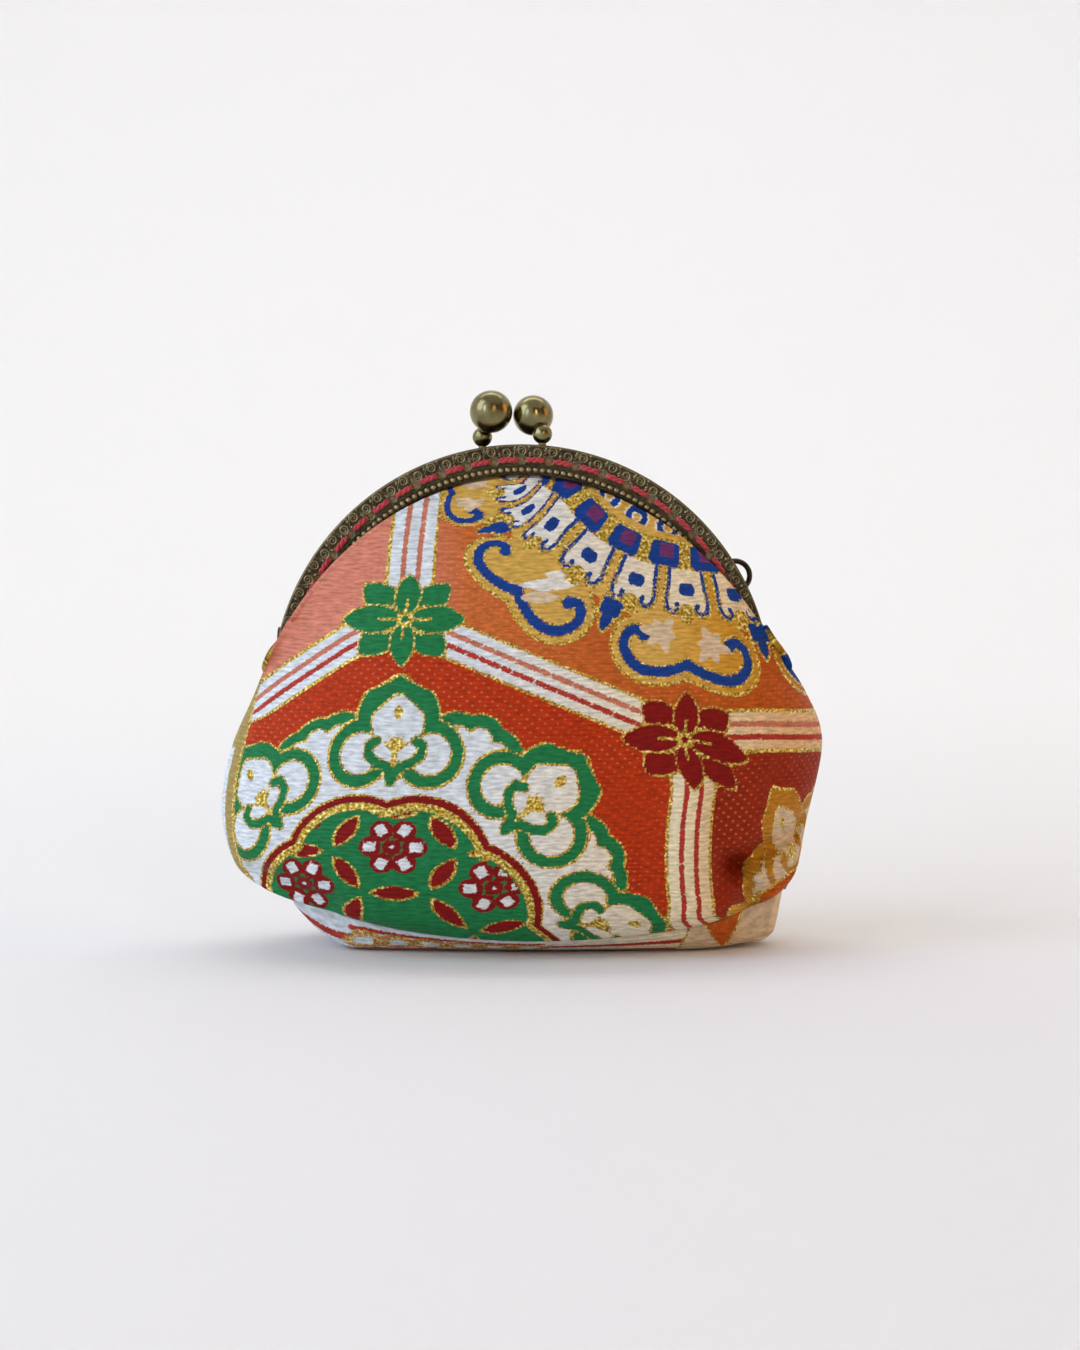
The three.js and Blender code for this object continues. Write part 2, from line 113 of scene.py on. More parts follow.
def panel_surface(rows, side, creases):
    """x, y, z of a panel's outer face in mm, and how far along its line a point is from the middle."""
    last = len(rows) - 1
    line = np.concatenate([k + np.arange(n) / n for k, n in enumerate(rows[:last, -1])] + [[last]])
    columns = along_rows(rows[:, :-1], line)
    left_x, left_z, right_x, right_z, mid_z, depth, edge, full, flat = np.hsplit(columns, columns.shape[1])
    turn = CLOTH_SWEEP * np.linspace(-1, 1, COLUMNS + 1)
    across = (np.sin(turn) / math.sin(CLOTH_SWEEP) + 1) / 2
    rise = np.clip((np.cos(turn) - math.cos(CLOTH_SWEEP)) / (1 - math.cos(CLOTH_SWEEP)), 0, 1)
    x = left_x + (right_x - left_x) * across
    seam_z = left_z + (right_z - left_z) * across
    z = seam_z + (mid_z - seam_z) * rise**flat
    y = edge + (depth - edge) * rise**full
    step = np.hypot(np.diff(x, axis=1), np.diff(y, axis=1))
    length = np.pad(np.cumsum(step, axis=1), ((0, 0), (1, 0)))
    length = length - length[:, COLUMNS // 2, None]
    row = line[:, None]
    soft = np.clip(rise / SEAM_MARGIN, 0, 1) * np.clip((FLANGE_ROW - row) / FADE_ROWS, 0, 1)
    press = sum(
        deep * np.exp(-((segment_distance(x, z, *ends) / wide) ** 2)) for *ends, deep, wide in creases
    )
    y = y - np.minimum(press, DEEPEST_CREASE * (y - edge)) * soft
    # Puckers: the easing stitches draw the cloth in at each sewing hole.
    bearing = np.arctan2(x, z - ARCH_Z)
    near = np.exp(-(((PUCKER_R - np.hypot(x, z - ARCH_Z)) / PUCKER_REACH) ** 2))
    near = near * np.clip((row - FLANGE_ROW + 2) / FADE_ROWS, 0, 1)
    y = y + PUCKER_DEPTH * near * np.cos(2 * math.pi * bearing * HOLE_R / HOLE_PITCH)
    # Slack: long soft swells where the cloth isn't tight.
    y = y + SLACK * soft * rise * np.sin(0.16 * x + 0.11 * z) * np.sin(0.13 * z - 0.05 * x)
    return x, side * y, z, length


# The brocade's figure: a lattice of tall hexagons drawn by striped bands, a flower on each
# crossing and a round medallion in each cell. Each yarn has a field that is negative where that
# yarn is on the face, in mm to its edge. A yarn laid later covers the ones before it.
YARNS = {
    "salmon": "#CB6A30",
    "wine": "#982808",
    "white": "#DDE3E6",
    "green": "#1F7A45",
    "rose": "#C9785C",
    "brick": "#B4382A",
    "crimson": "#84120F",
    "blue": "#153F8E",
    "ochre": "#D2A84E",
    "violet": "#6E3468",
    "beige": "#DCC3A0",
    "khaki": "#A9924F",
    "gold": "#D2AE3C",
}
GROUND_YARNS = ("salmon", "wine")
NOT_LAID = 9.0


class Figure:
    def __init__(self, u, v):
        self.u, self.v = u, v
        self.yarn = {name: np.full(u.shape, NOT_LAID) for name in YARNS}

    def lay(self, name, d):
        for other, field in self.yarn.items():
            if other == name:
                np.minimum(field, d, out=field)
            else:
                np.maximum(field, -d, out=field)

    def lay_outlined(self, name, d, rim=0.24):
        self.lay("gold", d - rim)
        self.lay(name, d)


def turned(x, y, degrees):
    c, s = math.cos(math.radians(degrees)), math.sin(math.radians(degrees))
    return x * c + y * s, y * c - x * s


def disc(x, y, cx, cy, radius):
    return np.hypot(x - cx, y - cy) - radius


def block(x, y, cx, cy, half_x, half_y):
    return np.maximum(np.abs(x - cx) - half_x, np.abs(y - cy) - half_y)


def leaf(x, y, half_length, half_width):
    """A leaf pointed at both ends, lying along x."""
    bow = (half_length**2 + half_width**2) / (2 * half_width)
    return np.hypot(x, np.abs(y) + bow - half_width) - bow


def stroke(x, y, points, half_width):
    pairs = zip(points, points[1:])
    return np.minimum.reduce([segment_distance(x, y, *a, *b) for a, b in pairs]) - half_width


# The trefoil medallion's chart. Its numbers are mm from the medallion's centre, a along the axis
# of a lobe and b across it.
LOBES = 8
LOBE_TURN = 360 / LOBES
LOBE_OUT = 1.4
HOOK_LINE = [(25.8, 0), (28.3, 0.9), (28.9, 2.8), (30.2, 4.5), (32.0, 4.7), (32.7, 3.4)]
FAN_FOOT = 31.2
FAN_TIPS = [(34.1, 0.0), (33.4, 1.2), (32.4, 2.0)]


def lay_bud(figure, a, b, line, fill):
    """The low bud between two lobes."""
    bud = np.minimum(disc(a, b, 33.9, 3.6, 5.0), disc(a, b, 35.6, 0, 4.4))
    figure.lay_outlined(line, bud)
    figure.lay_outlined(fill, np.minimum(bud + 2.3, block(a, b, 31, 0, 3, 3.4)))


def lay_trefoil(figure, a, b, line, fill):
    """A pointed lobe over two round ones, with a hook in each and a fan of gold between them."""
    from_tip = 44.3 - a
    point = 0.45 * (b - 0.35 * from_tip**2 - 0.5 * from_tip)
    lobe = np.minimum(np.maximum(disc(a, b, 36.4, 0, 7.2), point), disc(a, b, 30.5, 6.1, 5.6))
    figure.lay_outlined(line, lobe, 0.3)
    heart = np.maximum(disc(a, b, 35.9, 0, 4.5), 0.75 * (a + 0.85 * b - 40.9))
    inner = np.minimum.reduce([heart, disc(a, b, 30.5, 6.1, 3.4), disc(a, b, 32.2, 0, 4.3)])
    figure.lay_outlined(fill, inner)
    figure.lay_outlined(line, stroke(a, b, HOOK_LINE, 0.75), 0.16)
    figure.lay("gold", leaf(a - 37.5, b, 1.2, 0.7))
    for tip_a, tip_b in FAN_TIPS:
        tilt = math.degrees(math.atan2(tip_b, tip_a - FAN_FOOT))
        figure.lay("gold", leaf(*turned(a - FAN_FOOT, b, tilt), 2.6, 0.5))


# The honeycomb in the roundel: a pointed leaf lies on each edge between two cells, and each cell
# lays three of its six. It is drawn regular and then made wider than it is high.
HONEY_STEP = 15.0
HONEY_RISE = 17.3
HONEY_TOP = 18.6
HONEY_SHIFT = 1.4
HONEY_WIDE, HONEY_HIGH = 1.08, 0.82
LOWEST_FLOWER = 5.0
SCALLOPED_RINGS = [("gold", 1.5), ("crimson", 1.3), ("gold", 0.0)]


def lay_roundel(figure, x, y, ground):
    ring = np.hypot(x, y) - (22.5 + 2.1 * np.abs(np.sin(LOBES / 2 * np.arctan2(y, x))) ** 0.8)
    for yarn, outset in [*SCALLOPED_RINGS, (ground, -1.1)]:
        figure.lay(yarn, ring - outset)
    inside = ring + 1.5

    def lay_inside(yarn, d):
        figure.lay(yarn, np.maximum(d, inside))

    p, q = (x - HONEY_SHIFT) / HONEY_WIDE, y / HONEY_HIGH
    for i in range(-2, 3):
        for j in range(-2, 4):
            cx, cy = HONEY_STEP * i, HONEY_TOP + HONEY_RISE / 2 * i - HONEY_RISE * j
            if math.hypot(cx, cy) > 32:
                continue
            for k in range(3):
                a, b = turned(p - cx, q - cy, 60 * k + 30)
                edge = leaf(b, a - HONEY_RISE / 2, 3.6, 1.35)
                lay_inside("gold", edge - 0.26)
                lay_inside("crimson", edge)
            if cy < LOWEST_FLOWER:
                continue
            flower_x, flower_y = p - cx, (q - cy - 1.2) * 0.88
            for k in range(6):
                a, b = turned(flower_x, flower_y, 60 * k)
                lay_inside("crimson", disc(a, b, 3.5, 0, 1.75))
                lay_inside("white", block(a, b, 3.6, 0, 1.1, 0.95))
            lay_inside("crimson", disc(flower_x, flower_y, 0, 0, 1.3))
            lay_inside("white", disc(flower_x, flower_y, 0, 0, 0.5))


def lay_trefoil_medallion(figure, x, y, line, fill, ground):
    """Eight trefoil lobes round a scalloped roundel that holds a honeycomb of small flowers."""
    for k in range(LOBES):
        a, b = turned(x, y, LOBE_TURN * (k + 0.5))
        lay_bud(figure, a - LOBE_OUT, np.abs(b), line, fill)
    figure.lay(fill, np.hypot(x, y) - 32.5)
    for k in range(LOBES):
        a, b = turned(x, y, LOBE_TURN * k)
        lay_trefoil(figure, a - LOBE_OUT, np.abs(b), line, fill)
    lay_roundel(figure, x, y, ground)


# The cloud medallion's chart, in mm as before. The cloud line is half of a lobe's, from the curl
# at its end to the cusp on its axis.
CLOUD_LINE = np.array(
    [
        (37.2, 7.6),
        (36.2, 8.8),
        (36.7, 10.4),
        (38.6, 11.2),
        (40.8, 10.5),
        (42.6, 8.7),
        (43.4, 6.1),
        (43.2, 3.4),
        (42.6, 1.3),
        (41.9, 0.0),
    ]
)
CLOUD_POINTS = along_rows(CLOUD_LINE, np.linspace(0, len(CLOUD_LINE) - 1, 3 * len(CLOUD_LINE) - 2)).tolist()
SPLASHES = [(36.9, -4.7, 0), (38.0, 4.4, 70)]  # a, b and how far it is turned
SPLASH_RAYS = [(20, 3.6), (78, 2.6), (140, 3.3), (205, 2.6), (255, 3.9), (310, 3.0)]
TEETH = 20
TOOTH_TURN = 360 / TEETH
TOOTH_LINE = [(25.6, 3.0), (28.4, 3.3), (31.2, 3.9), (32.8, 3.6), (33.3, 2.5), (32.6, 1.6), (31.8, 1.9)]
ARCH_RINGS = [("white", 2.5), ("blue", 1.9), ("white", 1.05), ("ochre", 0.5)]


def lay_cloud_lobe(figure, a, across, swoosh):
    """A cloud bracket in blue on ochre, with a pale swoosh or two splashes inside."""
    b = np.abs(across)
    line = np.minimum(stroke(a, b, CLOUD_POINTS, 0.9), disc(a, b, 37.2, 7.6, 1.1))
    body = np.minimum.reduce([line, disc(a, b, 38.2, 5.9, 4.6), np.maximum(a - 42, b - 6)])
    figure.lay("gold", np.maximum(body - 1.5, 30 - a))
    figure.lay("ochre", np.maximum(body - 1.1, 30 - a))
    figure.lay_outlined("blue", line, 0.2)
    if swoosh:
        p, q = turned(a - 37.5, across - 3.0, 135)
        figure.lay("white", leaf(p, q, 5.8, 1.1))
        figure.lay("white", leaf(p - 2.0, q - 1.8, 3.2, 0.8))
        figure.lay("beige", leaf(p + 1.5, q + 2.2, 3.4, 0.9))
        return
    for splash_a, splash_b, tilt in SPLASHES:
        for degrees, length in SPLASH_RAYS:
            p, q = turned(a - splash_a, across - splash_b, degrees + tilt)
            figure.lay("beige", leaf(p - length / 2, q, length / 2, 0.75))


def lay_tooth(figure, a, b):
    """A white tooth with a curled blue edge and a blue spot."""
    line = stroke(a, b, TOOTH_LINE, 0.34)
    figure.lay("gold", np.maximum(line - 0.3, 25 - a))
    figure.lay("white", block(a, b, 28.9, 0, 3.4, 3.2))
    figure.lay("white", disc(a, b, 31.8, 2.9, 1.0))
    figure.lay("gold", np.maximum(disc(a, b, 33.4, 0, 1.6), b - 1.0))
    figure.lay("blue", line)
    figure.lay("blue", np.maximum(disc(a, b, 29.2, 0, 1.35), np.abs(a - 29.2) - 1.0))


def lay_square(figure, a, b):
    """A blue square with a violet middle, and a small arch inside the ring of squares."""
    square = np.maximum(np.abs(a - 23.5) - 2.2, np.abs(b) - 2.8 - 0.14 * (a - 23.5))
    figure.lay("blue", np.maximum(square, np.abs(a - 23.5) + np.abs(b) - 4.3))
    figure.lay("violet", block(a, b, 22.9, 0.3, 1.1, 1.15))
    for yarn, radius in ARCH_RINGS:
        figure.lay(yarn, np.maximum(disc(a, b, 19.0, 0, radius), a - 19.9))


def lay_cloud_medallion(figure, x, y):
    """Eight cloud lobes round a ring of curled teeth, a ring of squares and small arches."""
    reach = np.hypot(x, y)
    for k in range(LOBES):
        lay_cloud_lobe(figure, *turned(x, y, LOBE_TURN * k), swoosh=k % 2)
    figure.lay("ochre", reach - 34.4)
    for k in range(TEETH):
        a, b = turned(x, y, TOOTH_TURN * k)
        lay_tooth(figure, a, np.abs(b))
    for k in range(LOBES):
        a, b = turned(x, y, LOBE_TURN * (k + 0.5))
        drop = np.minimum(block(a, b, 35.2, 0, 1.5, 1.9), leaf(a - 37.2, b, 2.4, 1.1))
        figure.lay_outlined("blue", drop, 0.3)
    figure.lay("gold", reach - 25.7)
    figure.lay("ochre", reach - 21.0)
    for k in range(TEETH):
        lay_square(figure, *turned(x, y, TOOTH_TURN * (k + 0.5)))
    wave = reach - (14.2 + 0.9 * np.abs(np.sin(8 * np.arctan2(y, x))))
    for yarn, edge in (("blue", wave - 0.5), ("violet", wave + 0.2), ("beige", wave + 2.0)):
        figure.lay(yarn, edge)
    for yarn, radius in (("ochre", 9.0), ("blue", 4.0), ("gold", 2.6)):
        figure.lay(yarn, reach - radius)


# A flower's petals: the way each points in degrees, its length and half its width.
SLANT_PETALS = [(degrees, 9.6, 2.7) for degrees in (37, 143, 217, 323)]
STRAIGHT_PETALS = [(0, 11.0, 2.3), (90, 7.9, 2.1), (180, 11.0, 2.3), (270, 7.9, 2.1)]


def lay_flower(figure, x, y, petal):
    """Eight pointed petals, long to the sides, each with a gold vein."""
    for degrees, length, half in SLANT_PETALS + STRAIGHT_PETALS:
        a, b = turned(x, y, degrees)
        figure.lay_outlined(petal, leaf(a - length / 2, b, length / 2, half), 0.2)
        figure.lay("gold", stroke(a, b, [(1.6, 0), (0.42 * length, 0)], 0.16))
    figure.lay("gold", np.hypot(x, y) - 1.3)
    figure.lay(petal, np.hypot(x, y) - 0.7)


DASH_PITCH = 2.1
DASH_HALF = 0.95
STRIPE_HALF = 0.34


def lay_band(figure, x, y, a, b, half, gap, stripes):
    """A striped band from a to b: two dashed stripes between white, gold down both edges."""
    across = segment_distance(x, y, *a, *b)
    dx, dy = b[0] - a[0], b[1] - a[1]
    length = math.hypot(dx, dy)
    run = ((x - a[0]) * dx + (y - a[1]) * dy) / length
    side = ((x - a[0]) * dy - (y - a[1]) * dx) / length
    dash = np.abs(run % DASH_PITCH - DASH_PITCH / 2) - DASH_HALF
    figure.lay("gold", across - half)
    figure.lay("white", across - half + 0.4)
    for yarn, offset in zip(stripes, (gap, -gap)):
        stripe = np.maximum(np.abs(side - offset) - STRIPE_HALF, dash)
        figure.lay(yarn, np.maximum(stripe, across - half + 0.6))


# A cell of the lattice: half its width, its top over its centre, and the shoulder where its
# upright sides end. The first cell is the one behind the green trefoils on the front.
CELL_HALF_WIDTH = 49.3
CELL_TOP = 54.5
CELL_SHOULDER = 34.6
FIRST_CELL = (-21.9, 3.2)
CELL_REACH = 70
MEDALLION_REACH = 36
TREFOIL_YARNS = {"green": ("green", "white", "green"), "ochre": ("ochre", "beige", "ochre")}
CELL_GROUND = {"cloud": "salmon", "ochre": "wine"}


def brocade_figure(u, v):
    figure = Figure(u, v)
    w, top, shoulder = CELL_HALF_WIDTH, CELL_TOP, CELL_SHOULDER
    cells = []
    for j in range(-2, 3):
        for i in range(-3, 4):
            x = u - FIRST_CELL[0] - 2 * w * i - (w if j % 2 else 0)
            y = v - FIRST_CELL[1] - (top + shoulder) * j
            nearest = np.min(np.hypot(x, y))
            if nearest < CELL_REACH:
                kind = "cloud" if j % 2 else ("ochre" if i % 2 else "green")
                cells.append((kind, x, y, nearest))
    slope = (top - shoulder) / w
    for kind, x, y, _ in cells:
        hexagon = np.maximum(np.abs(x) - w, np.abs(y) - top + slope * np.abs(x))
        if kind in CELL_GROUND:
            figure.lay(CELL_GROUND[kind], hexagon)
    for kind, x, y, nearest in cells:
        if nearest > MEDALLION_REACH:
            continue
        if kind == "cloud":
            lay_cloud_medallion(figure, x, y)
        else:
            lay_trefoil_medallion(figure, x, y, *TREFOIL_YARNS[kind])
    for kind, x, y, _ in cells:
        upright = ("rose", "rose") if kind == "cloud" else ("brick", "brick")
        lay_band(figure, x, y, (w, shoulder), (w, -shoulder), 4.1, 1.3, upright)
        lay_band(figure, x, y, (0, top), (w, shoulder), 3.3, 1.0, ("brick", "rose"))
        lay_band(figure, x, y, (-w, shoulder), (0, top), 3.3, 1.0, ("brick", "rose"))
    for kind, x, y, _ in cells:
        lay_flower(figure, x, y - top, "crimson" if kind == "cloud" else "green")
        lay_flower(figure, x - w, y - shoulder, "crimson")
    return figure


def linear(hex_colour):
    """An sRGB hex colour as linear RGBA."""
    values = [int(hex_colour[k : k + 2], 16) / 255 for k in (1, 3, 5)]
    return [v / 12.92 if v <= 0.04045 else ((v + 0.055) / 1.055) ** 2.4 for v in values] + [1.0]


def add(tree, kind, inputs=(), out=0, stops=None, **settings):
    """Adds a node and gives one of its outputs. Its inputs, in order or by name, are sockets to link
    or values to set, and stops are the hex colours along a ramp."""
    made = tree.nodes.new("ShaderNode" + kind)
    for name, value in settings.items():
        setattr(made, name, value)
    for name, value in inputs.items() if isinstance(inputs, dict) else enumerate(inputs):
        if isinstance(value, bpy.types.NodeSocket):
            tree.links.new(value, made.inputs[name])
        else:
            made.inputs[name].default_value = value
    if stops:
        elements = made.color_ramp.elements
        elements.remove(elements[1])
        for place, colour in stops.items():
            elements.new(place).color = linear(colour)
        elements.remove(elements[0])
    return made.outputs[out] if made.outputs else None


def new_material(name):
    """A material and its node tree, still empty."""
    material = bpy.data.materials.new(name)
    material.use_nodes = True
    material.node_tree.nodes.clear()
    return material, material.node_tree


# Silk brocade: a warp-faced satin ground with the figure in floating silk wefts and gold-wrapped
# thread. It gives the eye soft ribs across, small tie-down dots on the ground, ragged stepped
# edges to each colour and glints that break up the gold. The ribs and streaks are drawn coarser
# than the real picks, so that they show.
GROUND_SHADE = "#B83408"
TIE_SHADE = "#E59A6E"
GOLD_GLINTS = {0.36: "#7E6420", 0.52: YARNS["gold"], 0.66: "#FCF2A8"}
# Three wefts are painted from a cooler shade on the left to a warmer one on the right, as they look in the
# photograph. This is painted light: the cool light from the left and the warm light from the right are laid
# into the colour.
# Salmon runs from pink to orange, white from bluish to cream and ochre from straw to amber.
PAINTED_LIGHT_RUNS = {
    "salmon": {0.27: "#D9866E", 0.40: YARNS["salmon"], 0.95: "#BC540E"},
    "white": {0.40: YARNS["white"], 0.58: "#E8E2D4", 0.80: "#F0DEB6", 0.96: "#E6BE8C"},
    "ochre": {0.40: YARNS["ochre"], 0.72: "#DAAE56", 0.84: "#D69C30", 0.95: "#BE8020"},
}
RUN_HALF = 50.0
EDGE_START, EDGE_END = 0.17, 0.05  # mm outside a yarn's outline, between which it comes in
RAGGED = 0.55
RIB_PITCH = 0.74
TIE_PITCH = 2.16
TIE_STEP = 0.96  # how far each row of dots steps sideways
TIE_START, TIE_END = 0.34, 0.14
GRAINS, GLINTS, PICKS, PATCHES = 2.4, 1.9, 2.2, 0.06  # per mm of cloth


def silk_brocade():
    material, tree = new_material("silk_brocade_weave")
    weave = add(tree, "Attribute", out="Vector", attribute_name="weave")
    across = add(tree, "SeparateXYZ", [weave], out="X")
    up = add(tree, "SeparateXYZ", [weave], out="Y")
    grain = add(tree, "TexNoise", {"Vector": weave, "Scale": GRAINS, "Detail": 1.0})
    ragged = add(tree, "Math", [grain, 0.5], operation="SUBTRACT")
    glint = add(tree, "TexNoise", {"Vector": weave, "Scale": GLINTS, "Detail": 2.0})
    # Painted light: this run across the cloth makes the wefts below cooler on the left and warmer on the
    # right.
    run = add(tree, "MapRange", [across, -RUN_HALF, RUN_HALF])
    colour = linear(GROUND_SHADE)
    for name, shade in YARNS.items():
        field = add(tree, "Attribute", out="Fac", attribute_name="yarn_" + name)
        edge = add(tree, "Math", [ragged, RAGGED, field], operation="MULTIPLY_ADD")
        share = add(tree, "MapRange", [edge, EDGE_START, EDGE_END])
        face = linear(shade)
        if name == "gold":
            face = add(tree, "ValToRGB", [glint], stops=GOLD_GLINTS)
        elif name in PAINTED_LIGHT_RUNS:
            face = add(tree, "ValToRGB", [run], stops=PAINTED_LIGHT_RUNS[name])
        colour = add(tree, "Mix", {0: share, 6: colour, 7: face}, out=2, data_type="RGBA")
    gold_share = share  # gold is the last of the yarns
    # Weft streaks: each pick is a little lighter or darker than the next.
    picks = add(tree, "Mapping", {"Vector": weave, "Scale": (0.5, PICKS, 1.0)})
    streak = add(tree, "TexNoise", {"Vector": picks, "Scale": 1.0, "Detail": 2.0})
    tone = add(tree, "MapRange", [streak, 0.3, 0.7, 0.7, 1.22])
    toned = add(tree, "VectorMath", [colour, tone], operation="MULTIPLY")
    # Tie-down dots on the satin ground, stronger in some patches than in others.
    row = add(tree, "Math", [up, RIB_PITCH], operation="DIVIDE")
    whole = add(tree, "Math", [row], operation="FLOOR")
    place = add(tree, "Math", [whole, TIE_STEP, across], operation="MULTIPLY_ADD")
    place = add(tree, "Math", [place, TIE_PITCH], operation="DIVIDE")
    place = add(tree, "Math", [place], operation="FRACT")
    place = add(tree, "Math", [place, 0.5], operation="SUBTRACT")
    place = add(tree, "Math", [place, TIE_PITCH], operation="MULTIPLY")
    height = add(tree, "Math", [row], operation="FRACT")
    height = add(tree, "Math", [height, 0.5], operation="SUBTRACT")
    spot = add(tree, "CombineXYZ", [place, height])
    spot = add(tree, "VectorMath", [spot], out="Value", operation="LENGTH")
    dot = add(tree, "MapRange", [spot, TIE_START, TIE_END, 0.0, 0.42])
    broad = add(tree, "TexNoise", {"Vector": weave, "Scale": PATCHES, "Detail": 1.0})
    patch = add(tree, "MapRange", [broad, 0.38, 0.62, 0.25, 1.0])
    ground = add(tree, "Attribute", out="Fac", attribute_name="yarn_ground")
    on_ground = add(tree, "MapRange", [ground, -0.2, -0.6])
    for part in (patch, on_ground):
        dot = add(tree, "Math", [dot, part], operation="MULTIPLY")
    dotted = add(tree, "Mix", {0: dot, 6: toned, 7: linear(TIE_SHADE)}, out=2, data_type="RGBA")
    # Relief: the ribs of the rows, the floats and the thicker gold thread.
    rib = add(tree, "Math", [row, 2 * math.pi], operation="MULTIPLY")
    rib = add(tree, "Math", [rib], operation="SINE")
    relief = streak
    for part, part_height in ((rib, 0.16), (gold_share, 0.4), (grain, 0.6)):
        relief = add(tree, "Math", [part, part_height, relief], operation="MULTIPLY_ADD")
    bump = add(tree, "Bump", {"Height": relief, "Strength": 0.6, "Distance": 0.3 * MM})
    shader = add(
        tree,
        "BsdfPrincipled",
        {
            "Base Color": dotted,
            "Roughness": add(tree, "MapRange", [gold_share, 0.0, 1.0, 0.58, 0.34]),
            "Metallic": add(tree, "Math", [gold_share, 0.4], operation="MULTIPLY"),
            "Normal": bump,
            "Sheen Weight": 0.02,
            "Sheen Roughness": 0.4,
            "Specular IOR Level": 0.12,
        },
    )
    add(tree, "OutputMaterial", [shader])
    return material


BROCADE = silk_brocade()


def choose(piece):
    """Makes a piece the only one that is selected, and the active one."""
    bpy.ops.object.select_all(action="DESELECT")
    piece.select_set(True)
    bpy.context.view_layer.objects.active = piece


def apply_modifier(piece, kind, **settings):
    choose(piece)
    modifier = piece.modifiers.new(kind.lower(), kind)
    for name, value in settings.items():
        setattr(modifier, name, value)
    bpy.ops.object.modifier_apply(modifier=modifier.name)


def cloth_piece(name, x, y, z, figure, outward):
    """A grid of points in mm as a sheet of brocade with thickness, figured with the yarn fields."""
    lines, columns = x.shape
    mesh = bpy.data.meshes.new(name)
    k = (np.arange(lines - 1)[:, None] * columns + np.arange(columns - 1)).ravel()
    quads = np.stack([k, k + 1, k + columns + 1, k + columns], axis=1)
    if outward < 0:
        quads = quads[:, ::-1]
    points = np.stack([x, y, z], axis=-1).reshape(-1, 3) * MM
    mesh.from_pydata(points.tolist(), [], quads.tolist())
    figure.yarn["ground"] = np.maximum.reduce(
        [-field for yarn, field in figure.yarn.items() if yarn not in GROUND_YARNS]
    )
    for yarn, field in figure.yarn.items():
        mesh.attributes.new("yarn_" + yarn, "FLOAT", "POINT").data.foreach_set("value", field.ravel())
    weave = np.stack([figure.u, figure.v, np.zeros_like(figure.u)], axis=-1)
    mesh.attributes.new("weave", "FLOAT_VECTOR", "POINT").data.foreach_set("vector", weave.ravel())
    mesh.materials.append(BROCADE)
    piece = bpy.data.objects.new(name, mesh)
    bpy.context.collection.objects.link(piece)
    apply_modifier(piece, "SOLIDIFY", thickness=CLOTH_THICKNESS * MM, offset=-1.0)
    bpy.ops.object.shade_smooth()
    return piece


x, y, z, length = panel_surface(FRONT_ROWS, -1, FRONT_CREASES)
front_seam = np.stack([x[0], y[0], z[0]], axis=-1)
# How far the figure is moved down, in mm, as the cloth hangs: right of the second flower, where it
# is off grain, at the left seam, and under the top of the frame. At the foot it is moved up, where
# the cloth turns under. The other numbers are places on the panel in mm.
off_grain = 0.46 * 3 * np.log1p(np.exp((length - 31) / 3))
droop = 0.22 * np.maximum(-29.5 - x, 0) * ease(z, 34, 42)
sag = 0.045 * np.maximum(z - 62.6, 0) ** 2 * ease(x, 8, -2) * ease(x, -26, -18)
under = 3.2 * np.exp(-(((z - 2) / 9) ** 2)) * ease(x, -10, 5)
# The warp leans to the right towards the frame, and is stretched to the right below the bands.
lean = 0.06 * np.maximum(z - 56, 0) + 0.11 * np.maximum(z - 54, 0) * ease(x, -10, -15)
stretch = 0.06 * np.clip(length - FIRST_CELL[0], 0, 48) * ease(z, 38, 28) * ease(x, 46, 37)
stretch = stretch * (1 - ease(x, 18, 26) * ease(z, 10, 2))
figure = brocade_figure(length - lean - stretch, z + off_grain + droop + sag - under)
figure.u, figure.v = length, z
# The left seam: the back panel's white turns round the edge, then a khaki seam strip that narrows
# to nothing at the frame.
STRIP_TOP = 52
from_left = x - x[:, :1]
strip = 3.0 * ease(z, STRIP_TOP, 36)
figure.lay("khaki", np.maximum(from_left - strip, z - STRIP_TOP))
figure.lay("gold", np.maximum(np.abs(from_left - strip) - 0.2, z - STRIP_TOP))
figure.lay("white", np.maximum(from_left - 1.3, np.abs(z - 24) - 11))
# The right corner is folded under, so the next cell's ground shows below the fold.
figure.lay_outlined("salmon", np.maximum(41.5 - x, 0.88 * (z - 9.6 - 0.55 * (x - 41.7))))
# The edge inside the channel is turned in, so its pale wrong side shows through the holes.
figure.lay("beige", np.maximum.reduce([39.9 - np.hypot(x, z - ARCH_Z), -3.4 - y, 53 - z]))
brocade_front = cloth_piece("brocade_front", x, y, z, figure, 1)
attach(brocade_front, "root")
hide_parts("pouch_front")

# Back panel of the pouch. The same brocade from another part of the repeat, plainly puffed, sewn
# into the back half of the frame and seamed to the front panel down both sides.
BACK_ROWS = FRONT_ROWS.copy()
BACK_ROWS[0, :4] = -42.8, 9.4, 46.8, 9.2
BACK_CREASES = [(-40.0, 11.0, -50.0, 18.0, 2.0, 3.0), (38.0, 10.0, 49.0, 15.0, 1.8, 3.0)]
BACK_FIGURE_X, BACK_FIGURE_Z = 34, 48
x, y, z, length = panel_surface(BACK_ROWS, 1, BACK_CREASES)
back_seam = np.stack([x[0], y[0], z[0]], axis=-1)
figure = brocade_figure(BACK_FIGURE_X - length, z - BACK_FIGURE_Z)
figure.u, figure.v = -length, z
brocade_back = cloth_piece("brocade_back", x, y, z, figure, -1)
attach(brocade_back, "root")
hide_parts("pouch_back")

